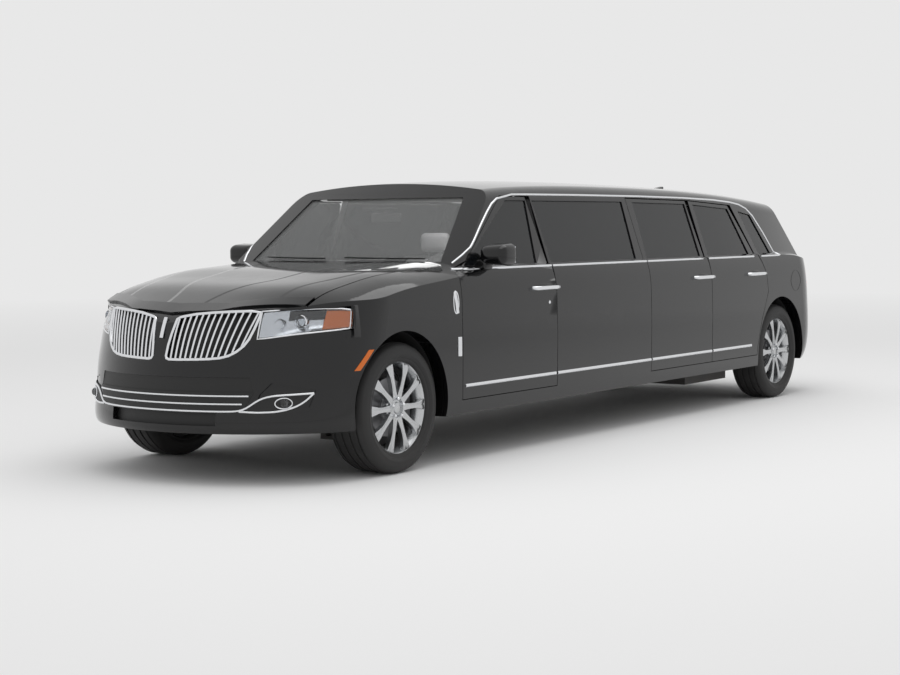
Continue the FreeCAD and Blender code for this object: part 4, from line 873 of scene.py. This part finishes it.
HUB = ((0.0, -0.012), (0.026, -0.012), (0.030, -0.014), (0.031, -0.018), (0.034, -0.022), (0.058, -0.024),
       (0.074, -0.027), (0.080, -0.034), (0.080, -0.070), (0.0, -0.070))
DISC = ((0.060, 0.0), (0.165, 0.0), (0.167, -0.002), (0.167, -0.026), (0.165, -0.028), (0.060, -0.028),
        (0.060, 0.0))
BELL = ((0.0, 0.018), (0.076, 0.018), (0.082, 0.012), (0.084, -0.02), (0.0, -0.02))
SHIELD_PLATE = ((0.0, 0.0), (0.150, 0.0), (0.215, -0.004), (0.219, -0.008), (0.219, -0.012), (0.150, -0.006),
                (0.0, -0.006))
DISC_Y, SHIELD_Y, CALIPER = -0.080, -0.122, ((-0.205, -0.130, -0.075), (-0.105, -0.066, 0.075))
SPOKES, SPOKE_START, SPOKE_PLACE, SPOKE_SIZE = 10, math.radians(18), (0, -0.017, 0.155), (0.040, 0.030, 0.200)
SPOKE_FOOT, SPOKE_SPAN, SPOKE_CUTS, SPOKE_EDGE = 0.055, 0.200, 5, 0.0035
SPOKE_WIDE, SPOKE_WAIST, WAIST_PLACE, SPOKE_FLARE, FLARE_FROM = 1.10, 0.35, 1.15, 0.45, 0.72
DISH_HUB, DISH_RIM, CHANNEL_FACE, CHANNEL_HALF, CHANNEL_DEEP = 0.012, 0.006, -0.012, 0.006, 0.0035
NUTS, NUT_RADIUS, NUT_LONG, NUT_PLACE = 5, 0.0105, 0.020, (0, -0.014, 0.052)
NUT_INSET, NUT_CROWN = 0.003, 0.004
rubber = finish("rubber", (0.012, 0.012, 0.0125), 0.62, skin=(380.0, 0.0007, 0.002), dust=(0.8, 0.10),
                vary=0.15)
alloy = finish("alloy", (0.56, 0.57, 0.58), 0.24, 1.0, skin=(260.0, 0.00012, 0.0025), dust=(0.6, 0.12))
disc_steel = finish("disc_steel", (0.30, 0.30, 0.31), 0.35, 1.0, skin=(30.0, 0.0004, 0.001), dust=(0.8, 0.3))
caliper_grey = finish("caliper_grey", (0.10, 0.10, 0.105), 0.5, 0.3)


def turned_copies(piece, count, start=0.0):
    """The piece and copies of it, evenly round the wheel's axle, as one object."""
    ring = []
    for index in range(count):
        ring.append(copy_of(piece.name, piece))
        ring[-1].data.transform(Matrix.Rotation(start + index * 2 * math.pi / count, 4, "Y"))
    bpy.data.objects.remove(piece)
    return joined(ring[0].name, ring)


tread = [(TYRE_RADIUS - SHOULDER_DROP, -SHOULDER)]
for groove in GROOVES:
    top, foot = TYRE_RADIUS - CROWN_DROP * abs(groove) / GROOVES[-1], TYRE_RADIUS - GROOVE_DEEP
    tread += [(top, groove - GROOVE_TOP), (foot, groove - GROOVE_FOOT)]
    tread += [(foot, groove + GROOVE_FOOT), (top, groove + GROOVE_TOP)]
tread += [(TYRE_RADIUS - SHOULDER_DROP, SHOULDER)]
section = [(r, w - HALF_TYRE) for r, w in WALL] + tread + [(r, HALF_TYRE - w) for r, w in WALL[::-1]]
tyre = lathe("tyre", section + section[:1], (0, 0, 0), AXLE, 112, 38)
barrel = lathe("rim", BARREL, (0, 0, 0), AXLE, 80, 35)
bpy.ops.mesh.primitive_cube_add(size=1, location=SPOKE_PLACE, scale=SPOKE_SIZE)
spoke = named("spoke")
bpy.ops.object.transform_apply(location=True, scale=True)
bpy.ops.object.mode_set(mode="EDIT")
bpy.ops.mesh.select_all(action="SELECT")
bpy.ops.mesh.subdivide(number_cuts=SPOKE_CUTS)
bpy.ops.object.mode_set(mode="OBJECT")
for vert in spoke.data.vertices:        # waisted, dished towards the hub, with a shallow channel
    out = (vert.co.z - SPOKE_FOOT) / SPOKE_SPAN
    waist = SPOKE_WAIST * math.sin(math.pi * min(1, out * WAIST_PLACE))
    vert.co.x *= SPOKE_WIDE - waist + SPOKE_FLARE * max(0, out - FLARE_FROM) / (1 - FLARE_FROM)
    vert.co.y += -DISH_HUB * (1 - out) ** 2 - DISH_RIM * out ** 4
    if vert.co.y > CHANNEL_FACE and abs(vert.co.x) < CHANNEL_HALF:
        vert.co.y -= CHANNEL_DEEP
soft = spoke.modifiers.new("edges", "BEVEL")
soft.width, soft.segments, soft.angle_limit = SPOKE_EDGE, 2, math.radians(50)
bpy.ops.object.modifier_apply(modifier="edges")
bpy.ops.object.shade_smooth_by_angle(angle=math.radians(35))
spokes = turned_copies(spoke, SPOKES, SPOKE_START)
wheel = joined("wheel", [barrel, spokes, lathe("hub", HUB, (0, 0, 0), AXLE, 60, 35)])
bpy.ops.mesh.primitive_cylinder_add(vertices=6, radius=NUT_RADIUS, depth=NUT_LONG, location=NUT_PLACE,
                                    rotation=(math.pi / 2, 0, 0))
nut = named("nuts")
bpy.ops.object.transform_apply(location=True, rotation=True)
bpy.ops.object.mode_set(mode="EDIT")
bpy.ops.mesh.select_all(action="DESELECT")
bm = bmesh.from_edit_mesh(nut.data)
for face in bm.faces:
    face.select_set(face.normal.y > 0.9)
bmesh.update_edit_mesh(nut.data)
bpy.ops.mesh.inset(thickness=NUT_INSET)
bpy.ops.transform.translate(value=(0, NUT_CROWN, 0))
bpy.ops.object.mode_set(mode="OBJECT")
nuts = turned_copies(nut, NUTS)
disc = lathe("disc", DISC, (0, DISC_Y, 0), AXLE, 64, 35)
disc = joined("disc", [disc, lathe("bell", BELL, (0, DISC_Y, 0), AXLE, 48, 35)])
plate = lathe("shield", SHIELD_PLATE, (0, SHIELD_Y, 0), AXLE, 48, 35)
caliper = block("caliper", *CALIPER, 0.016, 3)
for row, x in WHEEL_X.items():
    for side, g in SIDES.items():
        body, holder = f"{row}_wheel_{side}", f"knuckle_{side}" if row == "front" else "body"
        for source, label, y, on, slot, material, replaced in (
                (tyre, "tyre", TYRE_MIDDLE, body, "tyre", rubber, [f"{row}_tyre_{side}"]),
                (wheel, "wheel", FACE_Y, body, "alloy", alloy, [body]),
                (nuts, "wheel_nuts", FACE_Y, body, "chrome", chrome, []),
                (disc, "brake_disc", FACE_Y, body, "chassis", disc_steel, []),
                (plate, "brake_shield", FACE_Y, holder, "chassis", rubber, []),
                (caliper, "brake_caliper", FACE_Y, holder, "chassis", caliper_grey, [])):
            turned = label == "brake_caliper" and row == "rear"     # it sits on the axle's other side
            piece = copy_of(f"{label}_{row}_{side}", source)
            piece.data.transform(Matrix.Diagonal((-1 if turned else 1, g, 1, 1)))
            if (g < 0) != turned:
                piece.data.flip_normals()
            piece.data.transform(Matrix.Translation((x, y * g, WHEEL_Z)))
            settle(piece, on, slot, material, *replaced)
for source in (tyre, wheel, nuts, disc, plate, caliper):
    bpy.data.objects.remove(source)


# ---------------------------------------------------------------- seats
# Grey leather over foam: two front seats with headrests, and two benches across the lounge. Each pad
# is blown up as cloth from a slightly smaller block, then gets its sewn channels and piping.
SHRINK, SWELL, SEAM_DEEP, SEAM_WIDE, SEAM_FACING = 0.014, 0.013, 0.006, 0.010, 0.3
PAD_ROUND, PRESSURE, LAST_FRAME, FILL = 0.035, 4, 20, 0.75
SEAT_Y, PIPING_X, PIPING_CORNER, PIPING_WIDE = 0.38, 0.372, 0.05, 0.0035
FRONT_PADS = (("cushion", (0.36, -0.28, 0.470), (0.90, 0.28, 0.622), 0.016, 0.15, (0, 0, 1), ["front_seats"]),
              ("back", (0.250, -0.26, 0.500), (0.382, 0.26, 1.190), 0.016, 0.14, (1, 0, 0), []),
              ("headrest", (0.258, -0.135, 1.195), (0.352, 0.135, 1.360), 0.012, None, (1, 0, 0), []))
PIPING_Y, PIPING_Z = 0.262, (0.52, 1.178)
POST_X, POST_Y, POST_Z, POST_WIDE = 0.305, 0.06, (1.17, 1.215), 0.006
SEAT_BASE = ((0.40, 0.18, 0.3303), (0.84, 0.58, 0.485))
BENCH_SPLIT, BENCH_BACK_FROM, BENCH_SEAM = -1.27, 1.1, 0.25
BENCH_FLOOR, BENCH_PLINTH, BENCH_SEAT, BENCH_BACK_FOOT, PLINTH_IN = 0.3303, 0.455, (0.44, 0.622), 0.45, 0.03
leather = finish("leather", (0.27, 0.27, 0.272), 0.46, skin=(420.0, 0.0006, 0.002), vary=0.2)
piping_dark = finish("piping_dark", (0.03, 0.03, 0.031), 0.5, skin=(420.0, 0.0004, 0.001))


def cushion(name, low, high, voxel, seams, facing, *replaced):
    """A swollen pad between two corners, with seams at the given y on the side that it faces."""
    pad = block(name, Vector(low) + Vector((SHRINK,) * 3), Vector(high) - Vector((SHRINK,) * 3), PAD_ROUND)
    even = pad.modifiers.new("even", "REMESH")
    even.mode, even.voxel_size = "VOXEL", voxel
    bpy.ops.object.modifier_apply(modifier="even")
    starts = [vert.co.copy() for vert in pad.data.vertices]
    cloth = pad.modifiers.new("air", "CLOTH").settings
    cloth.use_pressure, cloth.uniform_pressure_force, cloth.effector_weights.gravity = True, PRESSURE, 0
    for number in range(1, LAST_FRAME + 1):
        bpy.context.scene.frame_set(number)
    swollen = pad.evaluated_get(bpy.context.evaluated_depsgraph_get()).to_mesh()
    ends = [vert.co.copy() for vert in swollen.vertices]
    pad.modifiers.clear()
    bpy.context.scene.frame_set(1)
    for vert, start, end in zip(pad.data.vertices, starts, ends):
        vert.co = start + (end - start) * min(1.0, SWELL / max((end - start).length, 1e-6))
    smooth = pad.modifiers.new("smooth", "SUBSURF")
    smooth.levels = smooth.render_levels = 1
    bpy.ops.object.modifier_apply(modifier="smooth")
    pad.data.update()
    for vert in pad.data.vertices:
        if vert.normal.dot(Vector(facing)) > SEAM_FACING:
            for seam in seams:
                vert.co -= vert.normal * SEAM_DEEP * math.exp(-((vert.co.y - seam) / SEAM_WIDE) ** 2)
    bpy.ops.object.shade_smooth()
    settle(pad, "body", "leather", leather, *replaced)


for side, g in SIDES.items():
    y = SEAT_Y * g
    for label, low, high, voxel, seam, facing, replaced in FRONT_PADS:
        low, high = (Vector(corner) + Vector((0, y, 0)) for corner in (low, high))
        seams = (y - seam, y + seam) if seam else ()
        cushion(f"front_{label}_{side}", low, high, voxel, seams, facing, *replaced)
    loop = []
    for edge, inward in ((y - PIPING_Y, PIPING_CORNER), (y + PIPING_Y, -PIPING_CORNER)):
        for z, upward in ((PIPING_Z[0], PIPING_CORNER), (PIPING_Z[1], -PIPING_CORNER)):
            loop += [Vector((PIPING_X, edge + inward, z)), Vector((PIPING_X, edge, z + upward))]
    loop.sort(key=lambda spot: math.atan2(spot.z - sum(PIPING_Z) / 2, spot.y - y))
    settle(moulding(f"front_seat_piping_{side}", loop, PIPING_WIDE, True), "body", "trim", piping_dark)
    for h in (-1, 1):
        bright(f"headrest_post_{side}_{h + 1}", [(POST_X, y + POST_Y * h, z) for z in POST_Z], POST_WIDE)
    settle(block(f"front_seat_base_{side}", *SEAT_BASE, 0.02, 3, g), "body", "plastic", cup_black)
benches = {"second_row": [], "third_row": []}
for vert in nodes["lounge_seats"].data.vertices:
    benches["second_row" if vert.co.x > BENCH_SPLIT else "third_row"].append(vert.co.copy())
for row, spots in benches.items():
    low, high = ([pick(spot[i] for spot in spots) for i in range(3)] for pick in (min, max))
    tall = [spot.x for spot in spots if spot.z > BENCH_BACK_FROM]
    back = (min(tall), max(tall))
    ahead = abs(back[0] - low[0]) < abs(high[0] - back[1])
    rear, front = (back[1], high[0]) if ahead else (low[0], back[0])
    seams, base = (-BENCH_SEAM, BENCH_SEAM), (rear + PLINTH_IN, low[1] + PLINTH_IN, BENCH_FLOOR)
    cushion(f"{row}_cushion", (rear, low[1], BENCH_SEAT[0]), (front, high[1], BENCH_SEAT[1]), 0.026, seams,
            (0, 0, 1), "lounge_seats")
    cushion(f"{row}_back", (back[0], low[1], BENCH_BACK_FOOT), (back[1], high[1], high[2]), 0.024, seams,
            (1 if ahead else -1, 0, 0))
    settle(block(f"{row}_plinth", base, (front - PLINTH_IN, high[1] - PLINTH_IN, BENCH_PLINTH), 0.012, 3),
           "body", "plastic", cup_black)


# ---------------------------------------------------------------- cabin
# A pale felt ceiling with a soft lamp, a grained dashboard with an instrument hood, a screen and four
# vents, the steering wheel, and the mirror and sensors at the top of the windscreen.
CABIN_LIGHT = {"place": (0.75, 0, 1.555), "size": (0.9, 0.9), "watts": 7.0}
WHEEL_CENTRE, WHEEL_LEAN = Vector((1.250, 0.380, 0.930)), math.atan2(0.34, 0.94)
WHEEL_RING, WHEEL_GRIP = 0.182, 0.0155
WHEEL_PARTS = (("hub_pad", (-0.075, -0.085, -0.022), (0.075, 0.075, 0.020), 0.022, 4),
               ("column", (-0.035, -0.035, -0.30), (0.035, 0.035, -0.018), 0.016, 3),
               ("arm_left", (-0.012, -0.180, -0.012), (0.018, -0.060, 0.004), 0.008, 3),
               ("arm_right", (-0.012, 0.060, -0.012), (0.018, 0.180, 0.004), 0.008, 3),
               ("arm_low", (-0.180, -0.016, -0.012), (-0.060, 0.016, 0.004), 0.008, 3))
VENTS, VENT_LOW, VENT_HIGH = (-0.62, -0.22, 0.20, 0.66), (1.505, -0.055, 0.975), (1.528, 0.055, 1.035)
POD_Y, POD_Z, POD_LOW, POD_HIGH = 0.075, 1.525, Vector((0.040, 0.045, 0.012)), Vector((0.020, 0.045, 0.010))
STALK, STALK_Z, STALK_WIDE, STALK_IN = [(1.412, 0, 1.450), (1.425, 0, 1.500)], 1.520, 0.008, -0.012
POD_IN, INSIDE_MIRROR = -0.022, ((1.395, -0.115, 1.415), (1.425, 0.115, 1.480))
WIPERS = {"left": ((0.05, 1.196), (0.32, 1.192), (0.62, 1.190)),
          "right": ((-0.60, 1.196), (-0.32, 1.192), (-0.10, 1.190))}
BLADE_WIDE, BLADE_PROUD = 0.005, 0.012
felt = finish("felt", (0.42, 0.42, 0.41), 0.85, skin=(500.0, 0.0008, 0.004))
soft_plastic = finish("soft_plastic", (0.045, 0.045, 0.047), 0.55, skin=(520.0, 0.0005, 0.004))
screen_black = finish("screen_black", (0.008, 0.009, 0.011), 0.08, skin=(60.0, 0.0, 0.001))
dress(soft_plastic, "dashboard")
soft_light("cabin_light", **CABIN_LIGHT)
for name, low, high, rounding, steps, slot, material in (
        ("headliner", (-2.30, -0.60, 1.566), (1.26, 0.60, 1.580), 0.006, 3, "trim", felt),
        ("instrument_hood", (1.50, 0.20, 1.045), (1.70, 0.56, 1.120), 0.030, 4, "plastic", soft_plastic),
        ("centre_screen", (1.500, -0.13, 0.950), (1.524, 0.13, 1.085), 0.006, 3, "plastic", screen_black)):
    settle(block(name, low, high, rounding, steps), "body", slot, material)
for number, y in enumerate(VENTS):
    low, high = (Vector(corner) + Vector((0, y, 0)) for corner in (VENT_LOW, VENT_HIGH))
    settle(block(f"air_vent_{number}", low, high, 0.008, 3), "body", "plastic", cup_black)
bpy.ops.mesh.primitive_torus_add(major_radius=WHEEL_RING, minor_radius=WHEEL_GRIP, major_segments=72,
                                 minor_segments=14)
ring = bpy.context.object
steering = joined("steering_wheel_dressed", [ring, *[block(*part) for part in WHEEL_PARTS]])
steering.data.transform(Matrix.Translation(WHEEL_CENTRE) @ Matrix.Rotation(WHEEL_LEAN - math.pi / 2, 4, "Y"))
bpy.ops.object.shade_smooth_by_angle(angle=PATCH_ANGLE)
settle(steering, "body", "plastic", soft_plastic, "steering_wheel")
settle(block("inside_mirror", *INSIDE_MIRROR, 0.013), "body", "plastic", cup_black)


def facing_point(tree, y, z, proud, start=3.0):
    """The point of a surface straight behind the start, at the given y and z."""
    hit, normal, _, _ = tree.ray_cast(Vector((start, y, z)), Vector((-math.copysign(1, start), 0, 0)))
    return hit + normal * proud


glass_tree = tree_of("fixed_glass")
stalk = [*STALK, facing_point(glass_tree, 0, STALK_Z, STALK_IN)]
settle(moulding("inside_mirror_stalk", stalk, STALK_WIDE), "body", "plastic", cup_black)
for number, y in enumerate((-POD_Y, POD_Y)):
    spot = facing_point(glass_tree, y, POD_Z, POD_IN)
    pod = block(f"sensor_pod_{number}", spot - POD_LOW, spot + POD_HIGH, 0.009, 3)
    settle(pod, "body", "plastic", cup_black)
for side, line in WIPERS.items():
    points = [facing_point(glass_tree, y, z, BLADE_PROUD) for y, z in line]
    settle(moulding(f"wiper_{side}", points, BLADE_WIDE), "body", "plastic", cup_black)


# ---------------------------------------------------------------- tail and roof
# Red tail lamps, a chromed bar and a blank plate on the tailgate, reflectors in the bumper, the
# tailpipe, the rear wiper, the aerial on the roof, the fuel flap and the door lock.
BAR_SPAN, BAR_LEVELS = (-0.60, 0.60, 25), (0.885, 0.895, 0.915, 0.925)
PLATE_SPAN, PLATE_LEVELS = (-0.155, 0.155, 9), (0.70, 0.855, 5)
REFLECTOR_SPAN, REFLECTOR_LEVELS = (0.62, 0.78, 7), (0.430, 0.440, 0.455, 0.465)
BAR_OUT, PLATE_OUT, REFLECTOR_OUT = 0.006, 0.004, 0.003
BAR_THICK, PLATE_THICK, REFLECTOR_THICK = 0.008, 0.003, 0.005
TAILPIPE = [(-2.34, -0.30, 0.242), (-2.9, -0.30, 0.240), (-3.30, -0.30, 0.246), (-3.50, -0.30, 0.246)]
TAILPIPE_RADIUS, FLAP_GAP, FLAP_PROUD = 0.027, 0.0016, 0.0003
REAR_BLADE = ((0.0, 1.190), (0.14, 1.205), (0.30, 1.215), (0.42, 1.222))
FIN_REAR, FIN_FRONT, FIN_HALF, FIN_BLANK = -2.40, -2.22, 0.022, 0.050
FIN_TALL, FIN_LOW, FIN_SUNK = 0.040, 0.010, 0.004
FLAP_X, FLAP_Z, FLAP_REACH, FLAP_SQUARE = -2.90, 0.93, 0.085, 0.12
LOCK_X, LOCK_Z = 0.98, 0.908
LOCK = ((0.0, 0.003), (0.009, 0.003), (0.011, 0.001), (0.011, -0.004), (0.0, -0.004))
red_lens = finish("red_lens", (0.30, 0.008, 0.008), 0.10, skin=(300.0, 0.0015, 0.003), Coat_Weight=0.6)
plate_white = finish("plate_white", (0.62, 0.62, 0.60), 0.35, dust=(1.2, 0.2))
exhaust_steel = finish("exhaust_steel", (0.32, 0.31, 0.30), 0.38, 0.9, dust=(0.5, 0.4))
dress(red_lens, "tail_lamps")
tail_tree = tree_of("tailgate", "rear_bumper", "tailgate_glass", "tail_lamps", "quarter_panels")
roof_tree = tree_of("roof_panel")


def on_tail(y, z, proud):
    """A point on the car's rear at the given y and z."""
    return facing_point(tail_tree, y, z, proud, -4.5)


rows = [[on_tail(y, z, BAR_OUT) for y in np.linspace(*BAR_SPAN)] for z in BAR_LEVELS]
settle(sheet_patch("tailgate_bar", rows, BAR_THICK), "tailgate", "chrome", chrome)
rows = [[on_tail(y, z, PLATE_OUT) for y in np.linspace(*PLATE_SPAN)] for z in np.linspace(*PLATE_LEVELS)]
settle(sheet_patch("rear_plate", rows, PLATE_THICK), "tailgate", "plastic", plate_white)
for side, g in SIDES.items():
    rows = [[on_tail(y * g, z, REFLECTOR_OUT) for y in np.linspace(*REFLECTOR_SPAN)]
            for z in REFLECTOR_LEVELS]
    settle(sheet_patch(f"rear_reflector_{side}", rows, REFLECTOR_THICK), "body", "red_lens", red_lens)
settle(moulding("tailpipe", TAILPIPE, TAILPIPE_RADIUS, sides=6), "body", "exhaust_steel", exhaust_steel)
blade = moulding("rear_wiper", [on_tail(y, z, BLADE_PROUD) for y, z in REAR_BLADE], BLADE_WIDE)
settle(blade, "tailgate", "plastic", cup_black)
fin = block("roof_aerial", (FIN_REAR, -FIN_HALF, 0.0), (FIN_FRONT, FIN_HALF, FIN_BLANK), 0.010)
for vert in fin.data.vertices:      # the fin stands on the roof and slopes down towards the front
    share = (vert.co.x - FIN_REAR) / (FIN_FRONT - FIN_REAR)
    roof = roof_tree.ray_cast(Vector((vert.co.x, 0, 3)), Vector((0, 0, -1)))[0].z
    vert.co.z = roof - FIN_SUNK + vert.co.z / FIN_BLANK * (FIN_TALL + (FIN_LOW - FIN_TALL) * share)
settle(fin, "body", "plastic", cup_black)
flap = ring_of(28, lambda t: on_side(FLAP_X + FLAP_REACH * math.cos(t) * (1 + FLAP_SQUARE * math.cos(2 * t)),
                                     FLAP_Z + FLAP_REACH * math.sin(t), 1, FLAP_PROUD))
settle(moulding("fuel_flap_gap", flap, FLAP_GAP, True), "body", "trim", cup_black)
settle(lathe("door_lock", LOCK, on_side(LOCK_X, LOCK_Z, 1), AXLE, 24), "front_door_left", "chrome", chrome)


# ---------------------------------------------------------------- underneath
# Cast axle parts, pressed steel underbody with sound-deadening coat, the engine, exhaust and tank; and
# the lacquered bar cabinets in the lounge.
chassis_black = finish("chassis_black", (0.025, 0.025, 0.026), 0.6, skin=(90.0, 0.002, 0.004),
                       dust=(0.7, 0.4))
cast_metal = finish("cast_metal", (0.35, 0.35, 0.355), 0.5, 0.85, skin=(260.0, 0.001, 0.004), dust=(0.9, 0.2))
cabinet_lacquer = finish("cabinet_lacquer", (0.055, 0.028, 0.018), 0.18, skin=(24.0, 0.0003, 0.003),
                         Coat_Weight=0.7)
dress(chassis_black, "underbody", "wheelhouses", "front_suspension", "rear_suspension", "fuel_tank")
dress(cast_metal, "engine_block", "knuckle_left", "knuckle_right")
dress(exhaust_steel, "exhaust")
dress(cabinet_lacquer, "lounge_cabinets")
